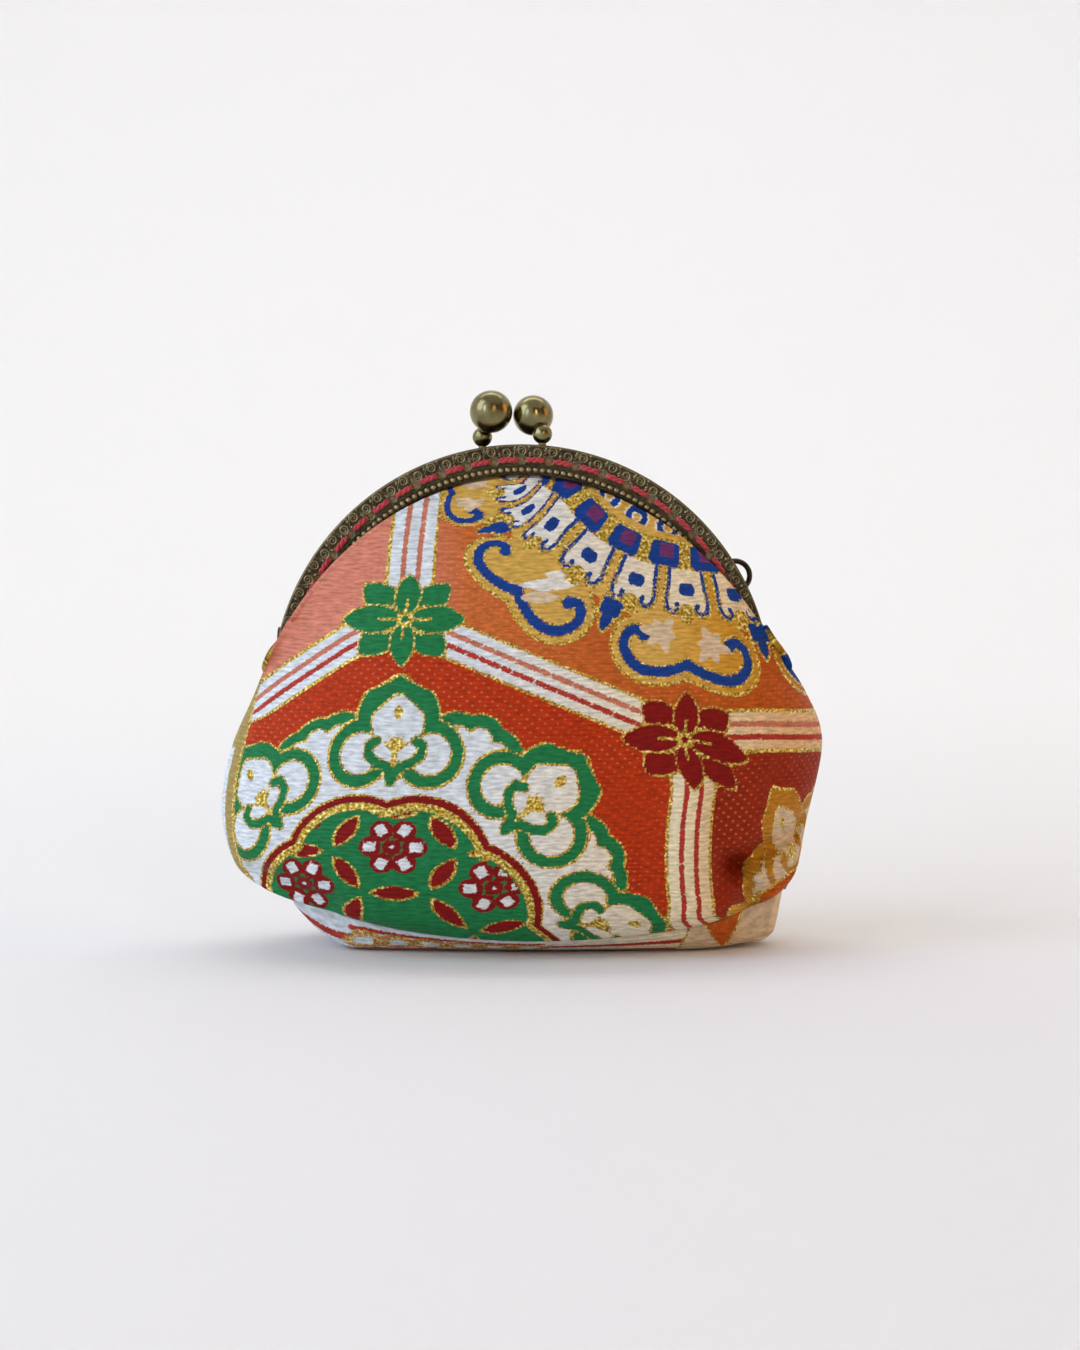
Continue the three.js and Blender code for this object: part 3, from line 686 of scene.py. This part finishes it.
# Base panel of the pouch. A long oval of the same brocade, cut along one of its striped bands and
# seamed to the front and back panels; the purse stands on its flat middle.
BASE_LANES = 70
BASE_INSET = 1 - 0.5 / 46
BASE_FLAT = 0.62  # of the half depth, outside which the panel rises to its seams
LEFT_TIP, RIGHT_TIP = 0.75, 0.1  # how far the middle rises with the seam at each end
lane = np.linspace(-1, 1, BASE_LANES + 1)[:, None]
seam = front_seam + (back_seam - front_seam) * ((lane + 1) / 2)[..., None]
half_depth = np.maximum((back_seam[:, 1] - front_seam[:, 1]) / 2 - 1.0, 0.8)
x = seam[..., 0] * BASE_INSET
y = lane * half_depth
middle = np.where(x < 0, LEFT_TIP, RIGHT_TIP) * seam[..., 2] * ease(np.abs(x), 29, 43)
middle = middle + 0.16 * np.maximum(x - 41.5, 0) ** 2
rim = np.maximum(seam[..., 2] - 0.35, middle)
middle = middle + (rim - middle) * ease(np.abs(np.linspace(-1, 1, COLUMNS + 1)), 0.9, 1.0)
lift = np.clip((np.abs(lane) - BASE_FLAT) / (1 - BASE_FLAT), 0, 1) ** 1.6
z = middle + (rim - middle) * lift

# The stripes' places and the links' are in mm from the front seam.
BASE_BAND = 9
BASE_BANDS = 4
LINKS = 6
LINK_PITCH = 5.6
CHAIN_LEFT, CHAIN_RIGHT = -30, 4
from_front = y + half_depth
figure = Figure(x, from_front)
figure.lay("white", np.full(x.shape, -NOT_LAID))
for band in range(BASE_BANDS):
    from_edge = from_front - BASE_BAND * band
    for offset in (2.2, 4.6):
        figure.lay("brick", np.abs(from_edge - offset) - 0.35)
    figure.lay("gold", np.abs(from_edge - 7.4) - 0.25)
# A chain of links takes the first stripe's place on the left, below a finer one.
beside_chain = np.maximum(CHAIN_LEFT - x, x - CHAIN_RIGHT)
figure.lay("white", np.maximum(np.abs(from_front - 2.4) - 1.9, beside_chain))
figure.lay("brick", np.maximum(np.abs(from_front - 0.9) - 0.2, beside_chain))
for k in range(LINKS):
    link = leaf(x + 27 - LINK_PITCH * k, from_front - 2.6, 3.7, 1.2)
    figure.lay_outlined("salmon", np.abs(link) - 0.26, 0.14)
# The right end is cut from the next cell.
corner = 29 - x - 0.4 * from_front
figure.lay_outlined("beige", corner)
figure.lay_outlined("salmon", np.maximum(np.abs(x - 35) - 3.2 + 0.8 * from_front, corner + 0.6))
brocade_base = cloth_piece("brocade_base", x, y, z, figure, -1)
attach(brocade_base, "root")
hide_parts("pouch_base")

# Front half of the frame. A stamped brass channel bent to an arch, with a rolled rim, a band of
# scrollwork, a line of sewing holes and a row of beads, antiqued dark and rubbed on the high parts.
ARCH_R = 44.0
ARCH_SWEEP = math.radians(76)
ARCH_TOP = ARCH_Z + ARCH_R
SHEET = 0.8
FLANGE = 5.4
INNER_FLANGE = 4.6
CHANNEL = 3.795
PARTING = 0.005  # from the parting plane to each half
FACE_Y = -PARTING - CHANNEL


def pick(test):
    """Selects the vertices of the mesh in edit mode that pass a test on their place in mm."""
    bpy.ops.mesh.select_all(action="DESELECT")
    edited = bmesh.from_edit_mesh(bpy.context.edit_object.data)
    for vertex in edited.verts:
        vertex.select_set(bool(test(*(vertex.co / MM))))
    edited.select_flush(True)
    bmesh.update_edit_mesh(bpy.context.edit_object.data)


def pull(dx, dy, dz):
    bpy.ops.mesh.extrude_region_move(TRANSFORM_OT_translate={"value": (dx * MM, dy * MM, dz * MM)})


def new_piece(name):
    """Names the primitive that was just added and moves its place into its mesh."""
    made = bpy.context.object
    made.name = name
    choose(made)
    bpy.ops.object.transform_apply(location=True, rotation=True, scale=True)
    return made


def finish_mesh():
    """In edit mode: merges doubles, closes open ends and turns all faces outwards."""
    bpy.ops.mesh.select_mode(type="VERT")
    bpy.ops.mesh.select_all(action="SELECT")
    bpy.ops.mesh.remove_doubles(threshold=1e-6)
    bpy.ops.mesh.select_all(action="DESELECT")
    bpy.ops.mesh.select_non_manifold()
    bpy.ops.mesh.edge_face_add()
    bpy.ops.mesh.select_all(action="SELECT")
    bpy.ops.mesh.normals_make_consistent(inside=False)


def arch_turn(angle):
    """Turns a mesh at the top of the arch to its place at an angle towards +X."""
    centre = Vector((0, 0, ARCH_Z * MM))
    return Matrix.Translation(centre) @ Matrix.Rotation(angle, 4, "Y") @ Matrix.Translation(-centre)


def arch_angles(radius, pitch, margin):
    """Angles a pitch apart along the arch, to both sides of its top, ending a margin before its ends."""
    count = int((ARCH_SWEEP - margin) * radius / pitch)
    return [k * pitch / radius for k in range(-count, count + 1)]


def copies(model, places):
    """Copies of a model, each with its own mesh moved to its place; the model itself goes."""
    made = []
    for place in places:
        one = model.copy()
        one.data = model.data.copy()
        one.data.transform(place)
        if place.determinant() < 0:
            one.data.flip_normals()
        bpy.context.collection.objects.link(one)
        made.append(one)
    bpy.data.objects.remove(model)
    return made


def joined(objects, name):
    choose(objects[0])
    for one in objects:
        one.select_set(True)
    bpy.ops.object.join()
    objects[0].name = name
    return objects[0]


def boolean(piece, tool, operation):
    """Cuts a tool's shape out of a piece or joins it on; the tool goes."""
    apply_modifier(piece, "BOOLEAN", object=tool, operation=operation, solver="EXACT")
    bpy.data.objects.remove(tool)


def spin_arch(piece):
    """Sweeps the section at the top of the arch along the whole of it."""
    piece.data.transform(arch_turn(-ARCH_SWEEP))
    bpy.ops.object.mode_set(mode="EDIT")
    bpy.ops.mesh.select_all(action="SELECT")
    bpy.ops.mesh.spin(steps=110, angle=-2 * ARCH_SWEEP, center=(0, 0, ARCH_Z * MM), axis=(0, 1, 0))
    finish_mesh()
    bpy.ops.object.mode_set(mode="OBJECT")


def wire(name, points, thickness, sides=1):
    """A round wire along points in mm, as a mesh; a point's fourth value is its share of thickness."""
    curve = bpy.data.curves.new(name, "CURVE")
    curve.dimensions = "3D"
    spline = curve.splines.new("POLY")
    spline.points.add(len(points) - 1)
    for point, place in zip(spline.points, points):
        point.co = (*[c * MM for c in place[:3]], 1)
        point.radius = place[3] if len(place) > 3 else 1.0
    curve.bevel_depth = thickness * MM
    curve.bevel_resolution = sides
    curve.use_fill_caps = True
    made = bpy.data.objects.new(name, curve)
    bpy.context.collection.objects.link(made)
    choose(made)
    bpy.ops.object.convert(target="MESH")
    bpy.ops.object.mode_set(mode="EDIT")
    finish_mesh()
    bpy.ops.object.mode_set(mode="OBJECT")
    return bpy.context.object


def soften(piece, width, degrees):
    """Rounds the edges that are sharper than an angle."""
    limit = math.radians(degrees)
    apply_modifier(piece, "BEVEL", width=width * MM, segments=2, limit_method="ANGLE", angle_limit=limit)


def stamped_channel(name):
    """A square of sheet, pulled out into the channel's section and swept along the arch."""
    bpy.ops.mesh.primitive_plane_add(
        size=SHEET * MM,
        rotation=(0, math.pi / 2, 0),
        location=(0, (FACE_Y + SHEET / 2) * MM, (ARCH_TOP - SHEET / 2) * MM),
    )
    channel = new_piece(name)
    spine = ARCH_TOP - SHEET  # the underside of the spine that joins the two flanges
    inner = -PARTING - SHEET  # the front of the inner flange
    near = 0.1
    bpy.ops.object.mode_set(mode="EDIT")
    bpy.ops.mesh.select_mode(type="VERT")
    pick(lambda x, y, z: z < spine + near)
    pull(0, 0, SHEET - FLANGE)
    pick(lambda x, y, z: z > spine - near and y > FACE_Y + SHEET - near)
    pull(0, CHANNEL - 2 * SHEET, 0)
    pick(lambda x, y, z: y > inner - near)
    pull(0, SHEET, 0)
    pick(lambda x, y, z: y > inner - near and z < spine + near)
    pull(0, 0, SHEET - INNER_FLANGE)
    bpy.ops.mesh.select_all(action="SELECT")
    bpy.ops.mesh.dissolve_faces()
    bpy.ops.object.mode_set(mode="OBJECT")
    spin_arch(channel)
    soften(channel, 0.14, 50)
    return channel


END_MARGIN = 0.03  # radians at the ends of the arch that stay plain
PUNCH_R = 0.7
COLLAR_R, COLLAR_WIRE = 0.84, 0.16
RELIEF_Y = FACE_Y - 0.02  # the middle of the raised lines, just proud of the face
HOLE_ANGLES = arch_angles(HOLE_R, HOLE_PITCH, END_MARGIN)


def sewing_holes(channel):
    """Punches the holes, and gives the raised collar round each."""
    bpy.ops.mesh.primitive_cylinder_add(
        vertices=14,
        radius=PUNCH_R * MM,
        depth=3 * SHEET * MM,
        rotation=(math.pi / 2, 0, 0),
        location=(0, (FACE_Y + SHEET / 2) * MM, (ARCH_Z + HOLE_R) * MM),
    )
    punch = new_piece("punch")
    punches = joined(copies(punch, [arch_turn(angle) for angle in HOLE_ANGLES]), "punches")
    boolean(channel, punches, "DIFFERENCE")
    bpy.ops.mesh.primitive_torus_add(
        major_radius=COLLAR_R * MM,
        minor_radius=COLLAR_WIRE * MM,
        major_segments=12,
        minor_segments=5,
        rotation=(math.pi / 2, 0, 0),
        location=(0, RELIEF_Y * MM, (ARCH_Z + HOLE_R) * MM),
    )
    return copies(new_piece("collar"), [arch_turn(angle) for angle in HOLE_ANGLES])


BEAD_R = 39.55
BEAD_PITCH = 1.22
BEAD_MARGIN = 0.015
BEAD_SIZE, BEAD_SUNK = 0.62, 0.1


def bead_row():
    """One dome, copied along the inner edge of the flange."""
    bpy.ops.mesh.primitive_uv_sphere_add(
        segments=10,
        ring_count=6,
        radius=BEAD_SIZE * MM,
        rotation=(math.pi / 2, 0, 0),
        location=(0, FACE_Y * MM, (ARCH_Z + BEAD_R) * MM),
    )
    bead = new_piece("bead")
    bpy.ops.object.mode_set(mode="EDIT")
    bpy.ops.mesh.select_all(action="SELECT")
    sunk = (0, (FACE_Y + BEAD_SUNK) * MM, 0)
    bpy.ops.mesh.bisect(plane_co=sunk, plane_no=(0, 1, 0), clear_outer=True, use_fill=True)
    bpy.ops.object.mode_set(mode="OBJECT")
    angles = arch_angles(BEAD_R, BEAD_PITCH, BEAD_MARGIN)
    return copies(bead, [arch_turn(angle) for angle in angles])


def rail(radius, thickness, sunk):
    """A round line along the arch, sunk a little into its face."""
    bpy.ops.mesh.primitive_circle_add(
        vertices=8,
        radius=thickness * MM,
        fill_type="NGON",
        rotation=(0, math.pi / 2, 0),
        location=(0, (FACE_Y + sunk) * MM, (ARCH_Z + radius) * MM),
    )
    line = new_piece("rail")
    spin_arch(line)
    return line


SCROLL_R = 42.75
SCROLL_PITCH = 2.7
SCROLL_STEPS = 16
SCROLL_EYE = ARCH_Z + 42.85
SCROLL_MIDDLE = ARCH_Z + 42.72
SEEDS = [(1.1, 43.4), (1.25, 42.2), (-1.35, 43.2)]  # x, and how far from the arch's centre
SCROLL_START, SCROLL_TURN = -90, 560  # degrees
SCROLL_INNER, SCROLL_GROWTH = 0.2, 0.72
SCROLL_WIRE, SEED_WIRE = 0.19, 0.26


def scrollwork():
    """A tapering spiral with a tail and three seeds round it, turned up and down in turn."""
    spiral = []
    for k in range(SCROLL_STEPS + 1):
        share = k / SCROLL_STEPS
        bearing = math.radians(SCROLL_START + SCROLL_TURN * share)
        radius = SCROLL_INNER + SCROLL_GROWTH * share
        x, z = radius * math.cos(bearing), SCROLL_EYE + radius * math.sin(bearing)
        spiral.append((x, RELIEF_Y, z, 0.8 + 0.35 * share))
    tail = [(-1.5, RELIEF_Y, ARCH_Z + 42.2, 0.7), (-2.0, FACE_Y, ARCH_Z + 42.6, 0.4)]
    parts = [wire("scroll", spiral + tail, SCROLL_WIRE)]
    for x, out in SEEDS:
        seed = [(x, FACE_Y, ARCH_Z + out, 0.6), (x + 0.3, RELIEF_Y, ARCH_Z + out + 0.25, 1.2)]
        parts.append(wire("seed", seed, SEED_WIRE))
    scroll = joined(parts, "scroll")
    over = Matrix.Translation((0, 0, 2 * SCROLL_MIDDLE * MM)) @ Matrix.Scale(-1, 4, (0, 0, 1))
    angles = arch_angles(SCROLL_R, SCROLL_PITCH, END_MARGIN)
    return copies(scroll, [arch_turn(a) @ (over if k % 2 else Matrix()) for k, a in enumerate(angles)])


HINGE_Z = 51.5
EAR_R = 2.4
EAR_LIFT = (0, -1.2 * MM, 2.0 * MM)


def hinge_ears(ear_x):
    """Round plates under both ends of the arch, drawn up to meet it."""
    ears = []
    for side in (-1, 1):
        bpy.ops.mesh.primitive_cylinder_add(
            vertices=24,
            radius=EAR_R * MM,
            depth=SHEET * MM,
            rotation=(0, math.pi / 2, 0),
            location=(side * (ear_x + SHEET / 2) * MM, 0, HINGE_Z * MM),
        )
        ear = new_piece("ear")
        bpy.ops.object.mode_set(mode="EDIT")
        pick(lambda x, y, z: z > HINGE_Z + 1.0)
        bpy.ops.transform.translate(value=EAR_LIFT)
        bpy.ops.object.mode_set(mode="OBJECT")
        soften(ear, 0.15, 40)
        ears.append(ear)
    return ears


def frame_half(name, ear_x):
    channel = stamped_channel(name)
    parts = [channel, *sewing_holes(channel), *bead_row()]
    # One rail runs along the rim, and a finer one above the beads.
    parts += [rail(ARCH_R - 0.25, 0.22, 0.04), rail(BEAD_R + 0.8, 0.12, 0.02)]
    return joined([*parts, *scrollwork(), *hinge_ears(ear_x)], name)


# Antique brass: stamped sheet, blackened and rubbed back. The recesses stay dark brown,
# the high parts show a worn greenish gold with a soft satin shine. The tooth of the blackening is
# drawn coarser than it is, so that it shows.
WORN_SHADES = {0.2: "#393224", 0.6: "#675D42", 1.0: "#9A8D68"}
WEAR_LOW, WEAR_HIGH = 3.8, 4.14  # mm from the parting plane, over which the rubbing grows
WEAR_PATCHES, WEAR_TOOTH = 0.26, 2.2  # per mm


def antique_brass():
    material, tree = new_material("antique_brass_stamped")
    place = add(tree, "TexCoord", out="Object")
    depth = add(tree, "SeparateXYZ", [place], out="Y")
    proud = add(tree, "Math", [depth], operation="ABSOLUTE")
    height = add(tree, "MapRange", [proud, WEAR_LOW * MM, WEAR_HIGH * MM])
    patches = add(tree, "TexNoise", {"Vector": place, "Scale": WEAR_PATCHES / MM, "Detail": 4.0})
    wear = add(tree, "Math", [patches, 0.5, height], operation="MULTIPLY_ADD")
    worn = add(tree, "ValToRGB", [wear], stops=WORN_SHADES)
    tooth = add(tree, "TexNoise", {"Vector": place, "Scale": WEAR_TOOTH / MM, "Detail": 2.0})
    rough = add(tree, "MapRange", [tooth, 0.3, 0.7, 0.3, 0.48])
    bump = add(tree, "Bump", {"Height": tooth, "Strength": 0.15, "Distance": 0.05 * MM})
    finish = {"Base Color": worn, "Metallic": 0.9, "Roughness": rough, "Normal": bump}
    add(tree, "OutputMaterial", [add(tree, "BsdfPrincipled", finish)])
    return material


ANTIQUE_BRASS = antique_brass()


def dress(piece, material, degrees=40):
    """Gives a finished piece its one material and smooths its rounded faces."""
    piece.data.materials.clear()
    piece.data.materials.append(material)
    choose(piece)
    bpy.ops.object.shade_smooth_by_angle(angle=math.radians(degrees))


frame_front = frame_half("stamped_frame_front", 41.3)
dress(frame_front, ANTIQUE_BRASS)
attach(frame_front, "root")
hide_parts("frame_front")

# Back half of the frame. The same stamping turned to face the back, with a small wire eye for a
# strap soldered to its right-hand side.
EYE_ANGLE = math.radians(61)
EYE_R = 2.6
EYE_STEPS = 16
EYE_SUNK = 0.4
frame_back = frame_half("stamped_frame_back", 42.4)
frame_back.data.transform(Matrix.Rotation(math.pi, 4, "Z"))
eye_points = []
for k in range(EYE_STEPS + 1):
    turn = math.pi * k / EYE_STEPS
    out = ARCH_R - 2 * EYE_SUNK + EYE_R * math.sin(turn)
    side = EYE_R * math.cos(turn)
    eye_points.append(
        (
            out * math.sin(EYE_ANGLE) + side * math.cos(EYE_ANGLE),
            PARTING + CHANNEL / 2,
            ARCH_Z + out * math.cos(EYE_ANGLE) - side * math.sin(EYE_ANGLE),
        )
    )
frame_back = joined([frame_back, wire("strap_eye", eye_points, 0.48, sides=2)], "stamped_frame_back")
dress(frame_back, ANTIQUE_BRASS)
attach(frame_back, "root")
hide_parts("frame_back")

# Hinge rivets. Plain turned brass, one through both halves' ears at each end of the arch, with
# its two ends peened over into low heads.
RIVET_X = 42.25
RIVET_LENGTH = 2.4
RIVET_R = 0.9
RIVET_HEAD = 1.75  # times the shank
RIVET_CROWN = 0.6  # times the head
HEAD_EDGE, HEAD_RISE = 0.3, 0.25
hinge_axis = (0, 0, HINGE_Z * MM)
bpy.ops.mesh.primitive_cylinder_add(
    vertices=24,
    radius=RIVET_R * MM,
    depth=RIVET_LENGTH * MM,
    rotation=(0, math.pi / 2, 0),
    location=(RIVET_X * MM, 0, HINGE_Z * MM),
)
rivet = new_piece("hinge_rivet")
bpy.ops.object.mode_set(mode="EDIT")
bpy.ops.mesh.select_mode(type="VERT")
for end in (-1, 1):
    pick(lambda x, y, z: (x - RIVET_X) * end > RIVET_LENGTH / 2 - 0.1)
    pull(0, 0, 0)
    bpy.ops.transform.resize(value=(1, RIVET_HEAD, RIVET_HEAD), center_override=hinge_axis)
    pull(end * HEAD_EDGE, 0, 0)
    pull(end * HEAD_RISE, 0, 0)
    bpy.ops.transform.resize(value=(1, RIVET_CROWN, RIVET_CROWN), center_override=hinge_axis)
finish_mesh()
bpy.ops.object.mode_set(mode="OBJECT")
rivet_right, rivet_left = copies(rivet, [Matrix(), Matrix.Rotation(math.pi, 4, "Z")])
for piece, node in ((rivet_right, "hinge_rivet_right"), (rivet_left, "hinge_rivet_left")):
    piece.name = "peened_" + node
    dress(piece, ANTIQUE_BRASS)
    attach(piece, "root")
    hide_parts(node)


# Clasp knobs. Two satin brass balls, each on a small foot ball that is riveted through its half
# of the frame; they snap past each other to close the purse.
LACQUER_SHADES = {0.3: "#6E6644", 0.7: "#90865E"}
LACQUER_CLOUDS = 0.42  # per mm


def satin_brass():
    """Polished antique brass: soft broad highlights under a dark lacquer that is cloudy in places."""
    material, tree = new_material("antique_brass_polished")
    place = add(tree, "TexCoord", out="Object")
    clouds = add(tree, "TexNoise", {"Vector": place, "Scale": LACQUER_CLOUDS / MM, "Detail": 4.0})
    lacquer = add(tree, "ValToRGB", [clouds], stops=LACQUER_SHADES)
    rough = add(tree, "MapRange", [clouds, 0.3, 0.7, 0.26, 0.2])
    finish = {"Base Color": lacquer, "Metallic": 1.0, "Roughness": rough}
    add(tree, "OutputMaterial", [add(tree, "BsdfPrincipled", finish)])
    return material


SATIN_BRASS = satin_brass()
KNOB_LIFT = 0.25  # from the frame to the foot ball
NECK_R = 0.95
PIN_R = 0.7
PIN_LENGTH = 2.6
PIN_DROP = 0.3


def rod(place, along, radius):
    """A cylinder centred on a place, as long as the vector that it lies along."""
    turn = Vector((0, 0, 1)).rotation_difference(along).to_euler()
    bpy.ops.mesh.primitive_cylinder_add(
        vertices=24, radius=radius * MM, depth=along.length * MM, location=place * MM, rotation=turn
    )
    return new_piece("rod")


def sphere(name, place, radius, segments, rings):
    bpy.ops.mesh.primitive_uv_sphere_add(
        segments=segments, ring_count=rings, radius=radius * MM, location=place * MM
    )
    return new_piece(name)


def knob(name, foot_x, foot_y, foot_r, ball_at, ball_r):
    seat = ARCH_Z + math.sqrt(ARCH_R**2 - foot_x**2) + KNOB_LIFT
    foot_at = Vector((foot_x, foot_y, seat + foot_r))
    piece = sphere(name, ball_at, ball_r, 56, 32)
    boolean(piece, rod((foot_at + ball_at) / 2, ball_at - foot_at, NECK_R), "UNION")
    pin_at = Vector((foot_x, foot_y, seat - PIN_DROP))
    boolean(piece, rod(pin_at, Vector((0, 0, PIN_LENGTH)), PIN_R), "UNION")
    boolean(piece, sphere("foot", foot_at, foot_r, 40, 22), "UNION")
    dress(piece, SATIN_BRASS, 35)
    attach(piece, "root")
    return piece


knob_front = knob("ball_knob_front", 3.6, -2.0, 1.75, Vector((2.0, 0.7, 93.2)), 3.55)
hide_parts("clasp_knob_front")
knob_back = knob("ball_knob_back", -7.0, 2.0, 1.75, Vector((-5.4, -0.7, 93.8)), 3.75)
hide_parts("clasp_knob_back")

# Sewing thread. Crimson buttonhole thread in two plies, worked in backstitch through the frame's
# holes and the cloth behind them, so that it lies on the metal from hole to hole.
PLIES = 2
PLY_RADIUS = 0.31
PLY_STEP = 0.3  # between points along a ply
TWIST_PITCH = 2.2
THREAD_PROUD = 0.4
THREAD_DIP = 2.7  # how far it goes down into each hole
DIP_HALF = 0.85
TWIST_OUT, TWIST_PROUD = 0.24, 0.14  # how far a ply swings from the middle of the thread
CRIMSON_SHADES = {0.3: "#A01C28", 0.7: "#D2363F"}
FIBRES = 3.0  # per mm


def crimson_thread():
    """Mercerised cotton: a saturated crimson that varies from fibre to fibre, with painted shade darkening
    the grooves, and a slight lustre. Its fibres are drawn coarser than they are, so that they show."""
    material, tree = new_material("crimson_cotton_thread")
    place = add(tree, "TexCoord", out="Object")
    fibre = add(tree, "TexNoise", {"Vector": place, "Scale": FIBRES / MM, "Detail": 2.0})
    # The fibre noise also sets the bump below, so the darker crimson lies in the grooves as painted shade.
    dye_and_groove_shade = add(tree, "ValToRGB", [fibre], stops=CRIMSON_SHADES)
    bump = add(tree, "Bump", {"Height": fibre, "Strength": 0.4, "Distance": 0.1 * MM})
    finish = {"Base Color": dye_and_groove_shade, "Roughness": 0.55, "Normal": bump, "Sheen Weight": 0.3}
    add(tree, "OutputMaterial", [add(tree, "BsdfPrincipled", finish)])
    return material


CRIMSON_THREAD = crimson_thread()


def sewn_thread(name, side):
    first, last = HOLE_ANGLES[0], HOLE_ANGLES[-1]
    count = int((last - first) * HOLE_R / PLY_STEP)
    plies = []
    for ply in range(PLIES):
        points = []
        for k in range(count + 1):
            angle = first + (last - first) * k / count
            along = angle * HOLE_R
            gap = along - HOLE_PITCH * round(along / HOLE_PITCH)
            dip = math.exp(-((gap / DIP_HALF) ** 6))
            twist = 2 * math.pi * (along / TWIST_PITCH + ply / PLIES)
            out = HOLE_R + TWIST_OUT * math.cos(twist)
            y = FACE_Y - THREAD_PROUD + THREAD_DIP * dip + TWIST_PROUD * math.sin(twist)
            points.append((out * math.sin(angle), side * -y, ARCH_Z + out * math.cos(angle)))
        plies.append(wire(name, points, PLY_RADIUS))
    piece = joined(plies, name)
    dress(piece, CRIMSON_THREAD, 80)
    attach(piece, "root")


sewn_thread("thread_front", -1)
sewn_thread("thread_back", 1)

# Studio: a closed room of pale paper with rounded corners, so that light comes softly from all
# round, with a brown screen on the right for the dim warm side that the knobs mirror. The floor is
# a little below the purse, so that the two don't share a face.
ROOM_WIDTH, ROOM_HEIGHT = 2.4, 1.6
FLOOR_DROP = 0.0004
SCREEN_SIZE = 1.1
SCREEN_X, SCREEN_Y, SCREEN_RETURN = 0.5, -0.93, 0.9
bpy.ops.mesh.primitive_cube_add(
    size=1,
    location=(0, 0.2, ROOM_HEIGHT / 2 - FLOOR_DROP),
    scale=(ROOM_WIDTH, ROOM_WIDTH, ROOM_HEIGHT),
)
room = new_piece("studio_room")
apply_modifier(room, "BEVEL", width=0.5, segments=12, limit_method="ANGLE", angle_limit=math.radians(40))
bpy.ops.mesh.primitive_plane_add(
    size=SCREEN_SIZE, rotation=(math.pi / 2, 0, 0), location=(SCREEN_X, SCREEN_Y, SCREEN_SIZE / 2)
)
screen = new_piece("brown_screen")
bpy.ops.object.mode_set(mode="EDIT")
bpy.ops.mesh.select_mode(type="VERT")
pick(lambda x, y, z: x * MM > SCREEN_X)
pull(0, SCREEN_RETURN / MM, 0)
bpy.ops.object.mode_set(mode="OBJECT")
for piece, name, shade, roughness in (
    (room, "backdrop_paper", "#F1F1F1", 0.9),
    (screen, "brown_screen_cloth", "#7A4E20", 1.0),
):
    material, tree = new_material(name)
    finish = {"Base Color": linear(shade), "Roughness": roughness}
    add(tree, "OutputMaterial", [add(tree, "BsdfPrincipled", finish)])
    dress(piece, material)


def aimed(made, place, target):
    """Puts a light or a camera at a place, looking at a target."""
    made.location = place
    made.rotation_euler = (Vector(target) - Vector(place)).to_track_quat("-Z", "Y").to_euler()
    bpy.context.collection.objects.link(made)
    return made


def softbox(name, place, target, width, height, watts, hex_colour):
    light = bpy.data.lights.new(name, "AREA")
    light.shape = "RECTANGLE"
    light.size, light.size_y = width, height
    light.energy = watts
    light.color = linear(hex_colour)[:3]
    aimed(bpy.data.objects.new(name, light), place, target)


softbox("window_left", (-0.85, -0.35, 0.6), (0, 0, 0.05), 0.6, 0.9, 5.0, "#CFE2FF")
softbox("strip_cool", (-0.62, -0.86, 0.35), (0, 0, 0.08), 0.12, 0.7, 2.2, "#D3E6FF")
softbox("strip_warm", (0.3, -0.88, 0.3), (0, 0, 0.08), 0.07, 0.56, 1.4, "#FFE0A0")
softbox("lamp_right", (0.88, -0.12, 0.35), (0, 0, 0.05), 0.3, 0.5, 1.1, "#FFB45C")
softbox("backdrop_wash", (0.0, 0.6, 1.5), (0, 1.3, 0.4), 2.0, 0.5, 11, "#FFFDF8")
bpy.context.scene.view_settings.view_transform = "Standard"

# The photograph's frame is 1350 pixels high, at 5.65 pixels to the millimetre.
PHOTO_HEIGHT = 1350
PIXELS_PER_MM = 5.65
DISTANCE = 0.48
ELEVATION = math.radians(3)
lens = bpy.data.cameras.new("camera")
lens.sensor_fit = "VERTICAL"
lens.sensor_height = 36.0
lens.lens = lens.sensor_height * DISTANCE / (PHOTO_HEIGHT / PIXELS_PER_MM * MM)
aim = Vector((3.2 * MM, 0, 47.4 * MM))
eye = aim + DISTANCE * Vector((0, -math.cos(ELEVATION), math.sin(ELEVATION)))
bpy.context.scene.camera = aimed(bpy.data.objects.new("camera", lens), eye, aim)
